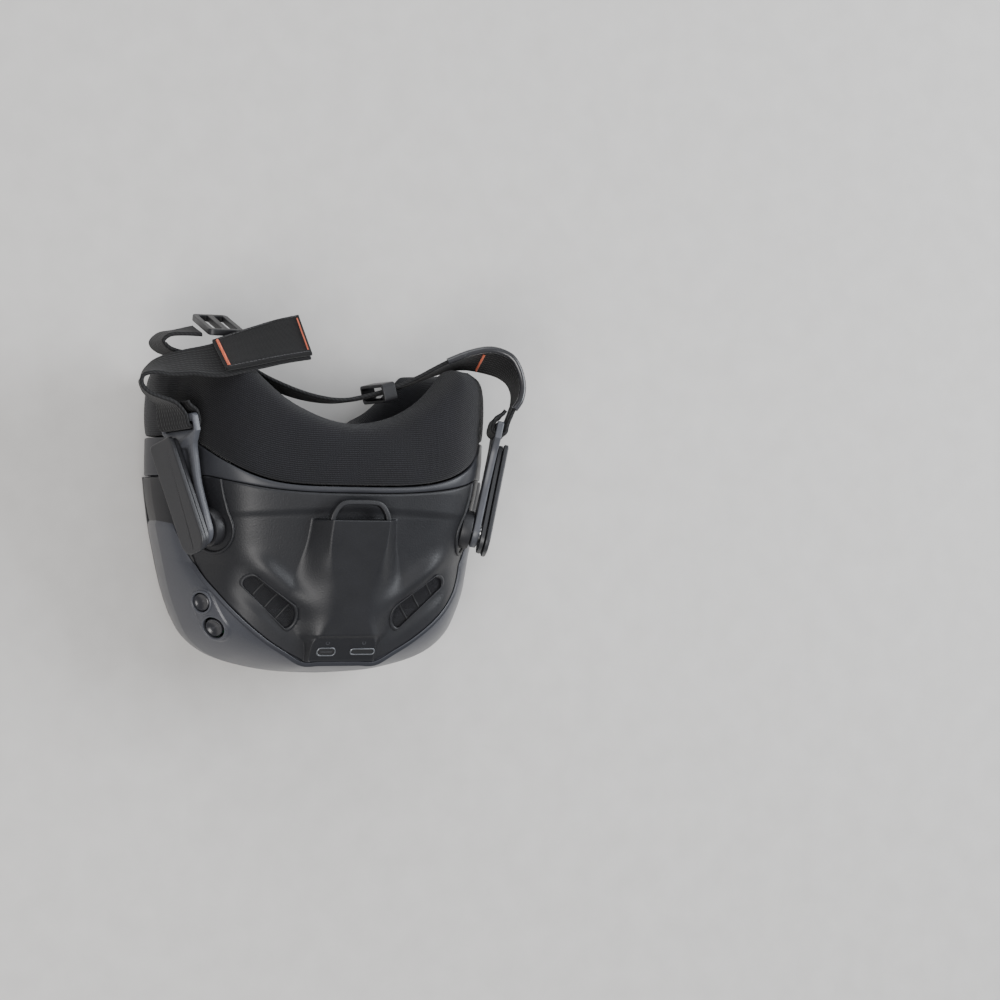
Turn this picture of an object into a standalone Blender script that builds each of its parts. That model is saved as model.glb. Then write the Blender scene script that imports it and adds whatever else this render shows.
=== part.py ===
"""Box-type FPV goggles with folding antennas and a webbing headband. Front faces -Y, top is +Z, wearer's right is -X."""
import math

import bmesh
import bpy
from mathutils import Matrix, Vector

MM = 0.001
WALL = 2.4
GAP = 0.3

# Plan curve where the front shell meets the top panel: (y, half width)
BORDER = ((-50.5, 19), (-40, 37), (-28, 51.8), (-16.5, 61.8), (-3, 70), (8, 75), (20, 79), (32.5, 82))
# Widest outline of the front shell at WIDE_Z, matched point by point with BORDER_PATH
BORDER_PATH = ((0, -50.5), (10, -50.5), (19, -50.5), (28, -45.5), (37, -40), (45, -34), (51.8, -28), (57.5, -22),
               (61.8, -16.5), (66.2, -10), (70, -2.4), (75, 9.9), (79, 23.8), (82, 39.7))
WIDE_PATH = ((0, -58), (12, -57.6), (25, -56.6), (39, -54.2), (52, -50.5), (61.5, -45.5), (68.5, -38.5), (73, -29.5),
             (77, -19), (79.6, -9), (81.8, 1), (84.2, 12), (86.4, 25), (88.1, 39.7))
WIDE_Z = 40
SEAM_Z = 16

# Half outline of the face opening: outer ring (z None is on the top surface) and inner ring, point for point
OUTER = ((0, None), (12, None), (25, None), (37, None), (47, None), (55, None), (62, None), (68, None), (74, None),
         (79.5, None), (84, None), (87.5, 42), (88, 32), (85, 20), (77, 10), (63, 4.5), (46, 3), (32, 3), (24, 5.5),
         (20, 12), (15.5, 21), (9.5, 29.5), (0, 34))
INNER = ((0, 81), (10, 81), (21, 80.5), (31, 79.5), (39, 77.5), (45.5, 75), (51, 71.5), (56, 67.5), (60.5, 62.5),
         (64, 57), (67, 51), (69, 44), (69, 36), (67, 29), (62, 22.5), (54, 18), (45, 16.5), (38, 18), (32.5, 22),
         (28, 28), (22, 35), (13, 42), (0, 46))

# Antenna and strap arm pivots
PIVOT_X, PIVOT_Y, PIVOT_Z = 76.7, 13.5, 76.0
SPLAY = math.radians(12.5)
LEAN = math.radians(18)
ANTENNA_BACK, ANTENNA_FRONT, ANTENNA_HALF = 46, 11, 11

LENS_X, LENS_Z, LENS_R = 31, 48, 21
STRAP_W, STRAP_T = 25, 2.0


def clear_scene():
    for obj in list(bpy.data.objects):
        bpy.data.objects.remove(obj)


clear_scene()
PARTS = bpy.data.collections.new("fpv_goggles")
CUTTERS = bpy.data.collections.new("cutters")
bpy.context.scene.collection.children.link(PARTS)
bpy.context.scene.collection.children.link(CUTTERS)

FINISHES = {
    "shell_satin": ((0.070, 0.072, 0.092), 0.0, 0.42),
    "shell_matte": ((0.020, 0.021, 0.026), 0.0, 0.62),
    "black_plastic": ((0.012, 0.012, 0.014), 0.0, 0.5),
    "frame_grey": ((0.045, 0.046, 0.056), 0.0, 0.55),
    "knit_foam": ((0.010, 0.010, 0.014), 0.0, 0.95),
    "webbing": ((0.012, 0.012, 0.014), 0.0, 0.9),
    "orange_thread": ((0.80, 0.16, 0.06), 0.0, 0.8),
    "steel": ((0.55, 0.55, 0.56), 1.0, 0.3),
    "aluminium": ((0.60, 0.61, 0.63), 1.0, 0.4),
    "circuit_board": ((0.010, 0.070, 0.035), 0.0, 0.5),
    "lens_glass": ((0.60, 0.62, 0.65), 0.0, 0.05),
    "display_glass": ((0.005, 0.005, 0.008), 0.0, 0.08),
    "cable_jacket": ((0.10, 0.10, 0.11), 0.0, 0.3),
    "rubber": ((0.010, 0.010, 0.010), 0.0, 0.85),
}


def material_for(obj, finish):
    colour, metallic, rough = FINISHES[finish]
    mat = bpy.data.materials.new(obj.name + "_" + finish)
    mat.use_nodes = True
    shader = mat.node_tree.nodes["Principled BSDF"]
    shader.inputs["Base Color"].default_value = (*colour, 1)
    shader.inputs["Metallic"].default_value = metallic
    shader.inputs["Roughness"].default_value = rough
    obj.data.materials.clear()
    obj.data.materials.append(mat)


def mesh_object(name, points, faces, finish=None):
    """An object from points in millimetres; with no finish it is a cutter."""
    mesh = bpy.data.meshes.new(name)
    mesh.from_pydata([Vector(p) * MM for p in points], [], faces)
    work = bmesh.new()
    work.from_mesh(mesh)
    bmesh.ops.recalc_face_normals(work, faces=work.faces)
    work.to_mesh(mesh)
    work.free()
    obj = bpy.data.objects.new(name, mesh)
    if finish:
        PARTS.objects.link(obj)
        material_for(obj, finish)
    else:
        CUTTERS.objects.link(obj)
        obj.hide_render = True
        obj.display_type = "WIRE"
    return obj


def boolean(obj, cutter, operation="DIFFERENCE"):
    mod = obj.modifiers.new(operation.lower() + "_" + cutter.name, "BOOLEAN")
    mod.operation = operation
    mod.solver = "EXACT"
    mod.object = cutter


def bevel(obj, width, segments=1, degrees=40):
    mod = obj.modifiers.new("bevel", "BEVEL")
    mod.width = width * MM
    mod.segments = segments
    mod.limit_method = "ANGLE"
    mod.angle_limit = math.radians(degrees)


def rows_solid(name, outer, inner, finish, closed=False):
    """Closed solid between two grids of the same size. closed: the columns run round a loop."""
    rows, cols = len(outer), len(outer[0])
    points = [p for row in outer for p in row] + [p for row in inner for p in row]
    half = rows * cols
    faces = []
    across = cols if closed else cols - 1
    for r in range(rows - 1):
        for c in range(across):
            a, b = r * cols + c, r * cols + (c + 1) % cols
            faces.append((a, b, b + cols, a + cols))
            faces.append((a + half, a + cols + half, b + cols + half, b + half))
    for c in range(across):
        for a, b in ((c, (c + 1) % cols), ((rows - 1) * cols + c, (rows - 1) * cols + (c + 1) % cols)):
            faces.append((a, b, b + half, a + half))
    if not closed:
        for r in range(rows - 1):
            for a in (r * cols, r * cols + cols - 1):
                faces.append((a, a + cols, a + cols + half, a + half))
    return mesh_object(name, points, faces, finish)


def ring_stack(name, rings, finish, closed=False):
    """Loft through rings of equal length; closed joins the last ring to the first, otherwise both ends are capped."""
    size = len(rings[0])
    points = [p for ring in rings for p in ring]
    faces = []
    steps = len(rings) if closed else len(rings) - 1
    for r in range(steps):
        after = (r + 1) % len(rings)
        for c in range(size):
            d = (c + 1) % size
            faces.append((r * size + c, r * size + d, after * size + d, after * size + c))
    if not closed:
        faces.append(tuple(range(size)))
        faces.append(tuple((len(rings) - 1) * size + c for c in range(size)))
    return mesh_object(name, points, faces, finish)


def prism(name, outline, at, u, v, w, low, high, finish=None):
    """Outline points (a, b) along u and v, extruded along w from low to high."""
    at, u, v, w = Vector(at), Vector(u), Vector(v), Vector(w)
    rings = [[at + u * a + v * b + w * h for a, b in outline] for h in (low, high)]
    return ring_stack(name, rings, finish)


def box(name, low, high, finish=None):
    outline = ((low[0], low[1]), (high[0], low[1]), (high[0], high[1]), (low[0], high[1]))
    return prism(name, outline, (0, 0, 0), (1, 0, 0), (0, 1, 0), (0, 0, 1), low[2], high[2], finish)


def axes_for(axis):
    """Two directions at right angles to an axis."""
    axis = Vector(axis).normalized()
    side = axis.cross(Vector((0, 0, 1)))
    if side.length < 0.1:
        side = axis.cross(Vector((0, 1, 0)))
    side.normalize()
    return side, axis.cross(side), axis


def lathe(name, profile, at, axis, finish=None, steps=24):
    """Solid of revolution: profile points (radius, height) along the axis through at, run by the Screw modifier."""
    side, up, axis = axes_for(axis)
    mesh = bpy.data.meshes.new(name)
    mesh.from_pydata([(r * MM, 0, h * MM) for r, h in profile], [(i, i + 1) for i in range(len(profile) - 1)], [])
    obj = bpy.data.objects.new(name, mesh)
    obj.matrix_world = Matrix.Translation(Vector(at) * MM) @ Matrix((side, up, axis)).transposed().to_4x4()
    mod = obj.modifiers.new("screw", "SCREW")
    mod.steps = steps
    mod.render_steps = steps
    mod.use_merge_vertices = True
    mod.merge_threshold = 0.00001
    if finish:
        PARTS.objects.link(obj)
        material_for(obj, finish)
    else:
        CUTTERS.objects.link(obj)
        obj.hide_render = True
        obj.display_type = "WIRE"
    return obj


def disc(name, radius, low, high, at, axis, finish=None, steps=24):
    return lathe(name, ((0, high), (radius, high), (radius, low), (0, low)), at, axis, finish, steps)


def tube(name, outer, inner, low, high, at, axis, finish=None, steps=24):
    profile = ((inner, high), (outer, high), (outer, low), (inner, low), (inner, high))
    return lathe(name, profile, at, axis, finish, steps)


def stadium(half_length, half_width, steps=6):
    """Outline of a slot with round ends, long along its first direction."""
    run = half_length - half_width
    points = []
    for sign in (1, -1):
        for i in range(steps + 1):
            turn = math.radians(-90 + 180 * i / steps)
            points.append((sign * (run + half_width * math.cos(turn)), sign * half_width * math.sin(turn)))
    return points


def lerp(table, value):
    for (a, p), (b, q) in zip(table, table[1:]):
        if value <= b:
            share = max(0, (value - a) / (b - a))
            return p + (q - p) * share
    return table[-1][1]


def top_z(x, y):
    """Height of the top surface."""
    centre = lerp(((-50.5, 74.5), (-40, 77.5), (-28, 81), (-3, 88), (20, 94.5), (33, 97.5), (45, 99), (70, 101)), y)
    shoulder = lerp(((-16, 59), (-3, 57.5), (45, 64)), y)
    fall = 1.9 * 5 * math.log(1 + math.exp((abs(x) - shoulder) / 5))
    return centre - 0.0012 * x * x - fall


def top_normal(x, y):
    dx = (top_z(x + 0.1, y) - top_z(x - 0.1, y)) / 0.2
    dy = (top_z(x, y + 0.1) - top_z(x, y - 0.1)) / 0.2
    return Vector((-dx, -dy, 1)).normalized()


def panel_end(x):
    """Y of the line where the top panel meets the face frame."""
    return 32.5 + 6 * (min(abs(x), 70) / 65) ** 3


def foam_seam(x):
    return 36 + 21 * (min(abs(x), 77) / 75) ** 4


def foam_face(x, z):
    return 66.5 + 0.0085 * min(abs(x), 58) ** 2 - 0.06 * max(0, 60 - z)


def build_top_panel():
    rows, outer, inner = 15, [], []
    for r in range(rows):
        share = r / (rows - 1)
        row, under = [], []
        for c in range(-12, 13):
            u = c / 12
            y = -50.3 + share * (32.2 + 50.3)
            x = u * (lerp(BORDER, y) - 0.15)
            y += share ** 4 * (panel_end(x) - 32.5)
            row.append(Vector((x, y, top_z(x, y))))
            under.append(row[-1] - top_normal(x, y) * WALL)
            under[-1].y = max(under[-1].y, -50.3)
            under[-1].y = min(under[-1].y, y)
        outer.append(row)
        inner.append(under)
    panel = rows_solid("top_panel", outer, inner, "shell_matte")
    top = [[(-22, 20, 90), (22, 20, 90), (14.5, 20, 105.3), (-14.5, 20, 105.3)],
           [(-19, -10, 82), (19, -10, 82), (15, -10, 94.2), (-15, -10, 94.2)],
           [(-18.5, -36, 74.5), (18.5, -36, 74.5), (16.5, -36, 84.6), (-16.5, -36, 84.6)],
           [(-18, -49.8, 72.7), (18, -49.8, 72.7), (17, -49.8, 76.2), (-17, -49.8, 76.2)]]
    boolean(panel, ring_stack("platform_block", top, None), "UNION")
    for x, half in ((-8.6, 5.2), (10.4, 6.4)):
        boolean(panel, box(f"port_cut_{half}", (x - half, -47.6, 60), (x + half, -43.4, 100)))
    for side in (-1, 1):
        shape = [(side * x, y) for x, y in VENT]
        boolean(panel, prism(f"vent_cut_{side}", shape, (0, 0, 0), (1, 0, 0), (0, 1, 0), (0, 0, 1), 60, 110))
        at, _, out, _ = pivot_frame(side)
        boolean(panel, disc(f"boss_cut_{side}", 11.4, -30, 10, at, out))
    return panel


VENT = ((53, -12.5), (51.8, -9), (47.8, -7.5), (26.5, -23), (24.8, -27), (25.5, -32), (29, -35))


def pivot_frame(side):
    """Pivot point, rearward direction, outward direction and upward direction of one antenna."""
    at = Vector((side * PIVOT_X, PIVOT_Y, PIVOT_Z))
    back = Vector((side * math.sin(SPLAY), math.cos(SPLAY), 0))
    out = Vector((side * math.cos(SPLAY) * math.cos(LEAN), -math.sin(SPLAY) * math.cos(LEAN), math.sin(LEAN)))
    up = Vector((-side * math.cos(SPLAY) * math.sin(LEAN), math.sin(SPLAY) * math.sin(LEAN), math.cos(LEAN)))
    return at, back, out, up


def front_point(i, t):
    """Point on the front shell: i along its length, t from the top border (0) through the widest line (0.6) to the seam."""
    bx, by = BORDER_PATH[i]
    wx, wy = WIDE_PATH[i]
    bz = top_z(bx, by)
    if t <= 0.6:
        turn = t / 0.6 * math.pi / 2
        share = 0.45 * t / 0.6 + 0.55 * math.sin(turn)
        drop = 0.45 * t / 0.6 + 0.55 * (1 - math.cos(turn))
        return Vector((bx + (wx - bx) * share, by + (wy - by) * share, bz + (WIDE_Z - bz) * drop))
    low = (t - 0.6) / 0.4
    inset = 1 - 0.035 * low ** 2
    return Vector((wx * inset, wy * inset if wy < 0 else wy, WIDE_Z + (SEAM_Z - WIDE_Z) * low))


def build_front_shell():
    count = len(BORDER_PATH)
    steps = (0, 0.15, 0.3, 0.45, 0.6, 0.8, 1.0)
    outer, inner = [], []
    for t in steps:
        half = [front_point(i, t) for i in range(count)]
        half[-1].y = 39.7
        row = [Vector((-p.x, p.y, p.z)) for p in reversed(half[1:])] + half
        outer.append(row)
    outer[-1] = [Vector((p.x, p.y, p.z + GAP / 2)) for p in outer[-1]]
    for r, row in enumerate(outer):
        under = []
        for c, p in enumerate(row):
            along = row[min(c + 1, len(row) - 1)] - row[max(c - 1, 0)]
            down = outer[min(r + 1, len(outer) - 1)][c] - outer[max(r - 1, 0)][c]
            normal = down.cross(along).normalized()
            if normal.dot(Vector((p.x, p.y - 10, 0))) < 0:
                normal = -normal
            if r == 0:
                normal = top_normal(p.x, p.y)
                normal.y = 0
                normal.x = 0
            if r == len(outer) - 1:
                normal.z = 0
            normal.normalize()
            under.append(p - normal * WALL)
            if c in (0, len(row) - 1):
                under[-1].y = p.y
        inner.append(under)
    for row in (outer[0], inner[0]):
        for c, p in enumerate(row):
            push = Vector((p.x, min(p.y, 0) * 1.5, 0)).normalized() * 0.15
            row[c] = p + push
    shell = rows_solid("front_shell", outer, inner, "shell_satin")
    for name, (at, out) in BUTTONS.items():
        boolean(shell, disc("hole_" + name, HOLE_R[name], -6, 6, at, out))
    return shell


HOLE_R = {"back_button": 4.9, "five_way": 5.8}
BUTTONS = {
    "back_button": (Vector((-67.8, -21.5, 63.4)), Vector((-0.76, -0.22, 0.61)).normalized()),
    "five_way": (Vector((-61.2, -33.8, 63.6)), Vector((-0.68, -0.42, 0.60)).normalized()),
}


def build_bottom_shell():
    """Tray from the seam round the front shell down to the flat it rests on."""
    path = [front_point(i, 1.0) for i in range(len(BORDER_PATH))]
    table = [(p.y, p.x) for p in path[1:]]
    rows, outer, inner = 14, [], []
    lift = (1, 0.42, 0.13, 0.0, 0.0, 0.0)
    for r in range(rows):
        y = -54.8 + (39.7 + 54.8) * (r / (rows - 1)) ** 1.35
        half_x = lerp(table, y) - 0.05
        edge = max(0.0, min(1.0, (y + 54.8) / 15))
        row, under = [], []
        for c in range(-6, 7):
            k = 6 - abs(c)
            inset = (0, 2.2, 6.5, 14, 0, 0, 0)[k] if k < 4 else 14 + (half_x - 14) * (k - 3) / 3
            x = (half_x - min(inset, half_x * (0.12 * k + 0.04 * k * k if k < 4 else 1))) if k < 6 else 0
            rise = max(lift[k] if k < 6 else 0, 1 - math.sqrt(1 - (1 - edge) ** 2) if edge < 1 else 0)
            rise = max(rise, (1 - edge) ** 2)
            z = (SEAM_Z - GAP) * rise
            pull = max(0.0, (y - 20) / 19.7) * (40 - panel_end(x))
            row.append(Vector((math.copysign(x, c) if c else 0, y - pull, z)))
            depth = WALL
            px = math.copysign(max(0, x - (2.2 if k == 0 else 1.6 if k == 1 else 0.8 if k == 2 else 0)), c) if c else 0
            lower = 0 if k == 0 or r == 0 else depth * (0.7 if k == 1 else 1)
            under.append(Vector((px, y - pull + (2.2 if r == 0 else 1.0 if r == 1 else 0), z + lower)))
        outer.append(row)
        inner.append(under)
    tray = rows_solid("bottom_shell", outer, inner, "black_plastic")
    notch = [(-24.5, -1), (24.5, -1), (20.5, 12.5), (16, 21.5), (9.8, 30), (0, 34.5), (-9.8, 30), (-16, 21.5),
             (-20.5, 12.5)]
    boolean(tray, prism("nose_cut", notch, (0, 0, 0), (1, 0, 0), (0, 0, 1), (0, 1, 0), 12, 60))
    return tray


def ring_points(y_of, depth, extra=0):
    """One ring of the face opening at a given depth (mm) inward from the outer outline."""
    ring = []
    half = []
    for k, ((ox, oz), (ix, iz)) in enumerate(zip(OUTER, INNER)):
        y = y_of(ox)
        z = top_z(ox, y) if oz is None else oz
        reach = Vector((ix - ox, 0, iz - z))
        step = reach.normalized() * min(depth, reach.length) if depth < 900 else reach * (depth - 900)
        point = Vector((ox, 0, z)) + step
        point.y = y
        half.append(point)
    ring = half + [Vector((-p.x, p.y, p.z)) for p in reversed(half[1:-1])]
    return ring


def sweep(name, section, finish):
    """Ring swept round the face opening: section is a list of (y function, depth)."""
    rings = [ring_points(y_of, depth) for y_of, depth in section]
    return ring_stack(name, rings, finish, closed=True)


def build_face():
    seam, end = foam_seam, panel_end
    sweep("face_frame", [
        (lambda x: end(x) + GAP, 0), (lambda x: seam(x) - GAP, 0), (lambda x: seam(x) - GAP, 3.2),
        (lambda x: seam(x) - 3.8, 3.2), (lambda x: seam(x) - 3.8, 9), (lambda x: end(x) - 5, 9),
        (lambda x: end(x) - 5, 3.4), (lambda x: end(x) + GAP, 3.4)], "frame_grey")
    sweep("foam_carrier", [
        (lambda x: seam(x) - 2.9, 4.4), (lambda x: seam(x) - 1.5, 4.4), (lambda x: seam(x) - 1.5, 13),
        (lambda x: seam(x) - 2.9, 13)], "black_plastic")

    def rear(drop, pull=1.0):
        return lambda x: foam_seam(x) + (foam_face(x, 60) - foam_seam(x)) * pull - drop
    sweep("foam_padding", [
        (lambda x: foam_seam(x) + 0.6, 0), (rear(0, 0.35), 0), (rear(9), 0.6), (rear(3), 3.5), (rear(0), 900.5),
        (rear(3), 900.8), (rear(9), 901.0), (rear(0, 0.3), 901.0), (lambda x: foam_seam(x) + 0.6, 900.93)], "knit_foam")


def build_optics():
    plate = [(x, z) for x, _, z in ring_points(lambda x: 24, 900.5)]
    mask = prism("lens_plate", plate, (0, 0, 0), (1, 0, 0), (0, 0, 1), (0, 1, 0), 22, 24, "black_plastic")
    for side, word in ((-1, "right"), (1, "left")):
        at = (side * LENS_X, 0, LENS_Z)
        boolean(mask, disc("lens_cut_" + word, LENS_R + 0.4, 15, 30, at, (0, 1, 0)))
        dome = [(LENS_R * s, 22.5 + 5.5 * (1 - s * s)) for s in (0, 0.3, 0.6, 0.85, 1)]
        back = [(LENS_R * s, 19.5 - 3.5 * (1 - s * s)) for s in (1, 0.7, 0.35, 0)]
        lathe("lens_" + word, dome + back, at, (0, 1, 0), "lens_glass", 32)
        tube("lens_barrel_" + word, 23.4, 21.6, -21.8, 21.6, at, (0, 1, 0), "black_plastic", 32)
    box("proximity_sensor", (-4, 24.3, 66), (4, 26.2, 71), "display_glass")
    box("display_panel", (-48, -24.6, 24), (48, -22.3, 70), "display_glass")
    chassis = box("chassis_plate", (-48, -28.2, 20), (48, -25.4, 70), "aluminium")
    board = box("main_board", (-46, -32.6, 24), (46, -31, 68), "circuit_board")
    for i, (x, z) in enumerate(((-42.5, 28), (42.5, 28), (-42.5, 64), (42.5, 64))):
        boolean(board, disc(f"board_hole_{i}", 1.6, -36, -29, (x, 0, z), (0, 1, 0), None, 16))
        boolean(chassis, disc(f"chassis_hole_{i}", 1.4, -40, -20, (x, 0, z), (0, 1, 0), None, 16))
        profile = ((0, -24.8 - 1), (1.1, -24.8 - 1), (1.1, -33), (2.6, -33), (2.6, -34.6), (0, -34.6))
        lathe(f"board_screw_{i + 1}", profile, (x, 0, z), (0, 1, 0), "steel", 12)
    sink = box("heat_sink", (-38.5, -36.4, 26), (-2, -33, 66), "aluminium")
    for i in range(6):
        fin = box(f"fin_{i}", (-38 + i * 6.6, -42, 26.6), (-35.8 + i * 6.6, -36, 65.4))
        boolean(sink, fin, "UNION")
    tube("fan_housing", 19.5, 17.5, -42, -34, (21, 0, 46), (0, 1, 0), "black_plastic", 28)
    rotor = disc("fan_rotor", 6, -41, -35, (21, 0, 46), (0, 1, 0), "black_plastic", 20)
    for i in range(7):
        turn = math.radians(i * 360 / 7)
        u = Vector((math.cos(turn), 0, math.sin(turn)))
        v = Vector((-math.sin(turn), 0, math.cos(turn)))
        w = Vector((0, 1, 0))
        blade = [[Vector((21, 0, 46)) + u * r + v * a + w * y for a, y in
                  ((-2.4, -40.4), (-1.0, -40.4), (2.4, -35.6), (1.0, -35.6))] for r in (4.5, 16.4)]
        boolean(rotor, ring_stack(f"blade_{i}", blade, None), "UNION")
    arch = ((24, 6), (19.8, 13), (15.2, 22), (9.2, 30.4), (0, 35))
    under = [(x, z) for x, z in arch] + [(-x, z) for x, z in reversed(arch[:-1])]
    over = [(x * 1.12 + (0.6 if x > 0 else -0.6 if x < 0 else 0), z + 2.4) for x, z in under]
    prism("nose_bridge", under + list(reversed(over)), (0, 0, 0), (1, 0, 0), (0, 0, 1), (0, 1, 0), 12.4, 21.6,
          "black_plastic")


def build_ports_and_vents():
    usb = prism("usb_c_port", stadium(4.47, 1.6), (-8.6, -45.5, 0), (1, 0, 0), (0, 1, 0), (0, 0, 1), 68, 77.6, "steel")
    boolean(usb, prism("usb_mouth", stadium(4.1, 1.25), (-8.6, -45.5, 0), (1, 0, 0), (0, 1, 0), (0, 0, 1), 70, 80))
    card = box("microsd_slot", (4.4, -47.1, 68), (16.4, -43.9, 77.6), "black_plastic")
    boolean(card, box("card_mouth", (5, -46.1, 70), (15.8, -44.9, 80)))
    for side, word in ((-1, "right"), (1, "left")):
        centre = Vector((sum(x for x, _ in VENT) / len(VENT), sum(y for _, y in VENT) / len(VENT), 0))
        shape = []
        for x, y in VENT:
            p = Vector((x, y, 0)) - centre
            p = centre + p * (1 - 0.55 / p.length)
            shape.append((side * p.x, p.y))
        slope = 0.27
        rings = [[(x, y, 79.0 + slope * (y + 20) - 0.05 * (abs(x) - 37) - h) for x, y in shape] for h in (0, 3)]
        grille = ring_stack("vent_grille_" + word, rings, "black_plastic")
        u = Vector((side * -0.79, -0.61, 0))
        v = Vector((u.y, -u.x, 0))
        for i, (run, half) in enumerate(((-11.5, 2.6), (-4.0, 3.6), (4.0, 3.8), (11.6, 3.6))):
            cut = [(-2.8, -half), (2.8, -half), (2.8, half), (-2.8, half)]
            at = Vector((side * 38.4, -20.6, 0)) + u * run
            boolean(grille, prism(f"vent_cell_{word}_{i}", cut, at, u, v, (0, 0, 1), 60, 100))
    bar = ((-13.5, 20.6, 101.4), (-8.5, 28, 102.4), (8.5, 28, 102.4), (13.5, 20.6, 101.4))
    rings = []
    for x, y, z in bar:
        wide = 1.7 if abs(x) > 10 else 1.5
        lean = math.copysign(wide, x) if abs(x) > 10 else math.copysign(wide * 0.8, x)
        near = (x - lean, y - (0 if abs(x) > 10 else wide))
        far = (x + lean, y + (0 if abs(x) > 10 else wide))
        rings.append([(near[0], near[1], z - 1.8), (far[0], far[1], z - 1.8),
                      (far[0], far[1], z + 1.8), (near[0], near[1], z + 1.8)])
    loop = ring_stack("strap_loop", rings, "black_plastic")
    bevel(loop, 0.5)


def build_buttons():
    at, out = BUTTONS["back_button"]
    dish = ((0, -0.3), (2.4, -0.1), (3.6, 0.5), (4.3, 0.2), (4.3, -4.5), (0, -4.5))
    lathe("back_button", dish, at, out, "black_plastic")
    at, out = BUTTONS["five_way"]
    dish = ((0, -0.5), (2.8, -0.2), (4.2, 0.7), (5.0, 0.3), (5.0, -3.0), (0, -3.0))
    lathe("five_way_cap", dish, at, out, "black_plastic")
    lathe("five_way_stem", ((0, -3.9), (3.4, -3.9), (3.4, -6.0), (0, -6.0)), at, out, "steel")
    lathe("five_way_gimbal", ((0, -7.0), (3.8, -7.0), (3.8, -8.0), (0, -8.0)), at, out, "black_plastic")
    u, v, w = axes_for(Vector((-0.72, -0.32, 0.605)))
    mid = (BUTTONS["back_button"][0] + BUTTONS["five_way"][0]) / 2
    plate = prism("button_board", [(-14, -6), (14, -6), (14, 6), (-14, 6)], mid, u, v, w, -10.4, -9.2, "circuit_board")
    return plate


PITCH = math.radians(12)


def pitched(shape):
    """Outline of a paddle turned rear end down about its pivot, as it rests."""
    cos, sin = math.cos(PITCH), math.sin(PITCH)
    return [(a * cos + b * sin, b * cos - a * sin) for a, b in shape]


def build_side(side, word):
    at, back, out, up = pivot_frame(side)

    def blade(name, shape, low, high, finish=None):
        return prism(name, shape, at, back, up, out, low, high, finish)
    paddle = [(-11, 0), (-9.8, -4.5), (-6.5, -8), (-2, -9.8), (43, -9.8), (46, -7), (46, 7), (43, 9.8), (-2, 9.8),
              (-6.5, 8), (-9.8, 4.5)]
    cover = blade("antenna_cover_" + word, pitched(paddle), 0.25, 2.7, "shell_matte")
    bevel(cover, 0.6)
    slim = [(a * 0.97 + 0.4, b * 0.94) for a, b in paddle]
    inner = blade("antenna_inner_" + word, pitched(slim), -2.4, -0.05, "black_plastic")
    boolean(inner, disc("antenna_bore_" + word, 3.9, -4, 0.5, at, out))
    shape = [(-8, 0), (-7, -4.5), (-4, -7.5), (0, -8.5), (22, -6.5), (30, -7.5), (43, -10), (47, -14.5), (56, -14.5),
             (56, 14.5), (47, 14.5), (43, 10), (30, 8.5), (22, 8.5), (0, 8.5), (-4, 7.5), (-7, 4.5)]
    arm = blade("strap_arm_" + word, shape, -6.6, -3.2, "frame_grey")
    boolean(arm, disc("arm_bore_" + word, 3.9, -9, 0, at, out))
    slot = [(48, -13.2), (52.4, -13.2), (52.4, 13.2), (48, 13.2)]
    boolean(arm, blade("arm_slot_" + word, slot, -12, 4))
    disc("pivot_boss_" + word, 11, -13, -7.2, at, out, "black_plastic", 28)
    disc("pivot_pin_" + word, 3.5, -6.9, -0.4, at, out, "steel", 20)
    turn = [at + back * 55.4 + out * -9.2]
    path = [(60.5, -8.6), (50.2, -8.6), (49.6, -7.4), (49.6, -2.4), (50.2, -1.1), (60.5, -1.1)]
    rings = []
    for i, (a, n) in enumerate(path):
        before, after = path[max(i - 1, 0)], path[min(i + 1, len(path) - 1)]
        d = Vector((after[0] - before[0], after[1] - before[1])).normalized()
        q = Vector((-d.y, d.x)) * 0.8
        ring = []
        for sa, sb in ((1, -12.3), (-1, -12.3), (-1, 12.3), (1, 12.3)):
            ring.append(at + back * (a + q.x * sa) + out * (n + q.y * sa) + up * sb)
        rings.append(ring)
    ring_stack("strap_end_" + word, rings, "webbing")
    return turn


def ribbon(name, stations, finish, width=STRAP_W, thick=STRAP_T):
    """Flat band: stations are (centre, width direction); faces are square to the path and the width."""
    rings = []
    for i, (centre, across) in enumerate(stations):
        before = Vector(stations[max(i - 1, 0)][0])
        after = Vector(stations[min(i + 1, len(stations) - 1)][0])
        w = Vector(across).normalized()
        face = (after - before).normalized().cross(w).normalized()
        c = Vector(centre)
        rings.append([c + w * a * width / 2 + face * b * thick / 2 for a, b in ((-1, -1), (1, -1), (1, 1), (-1, 1))])
    return ring_stack(name, rings, finish)


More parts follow.
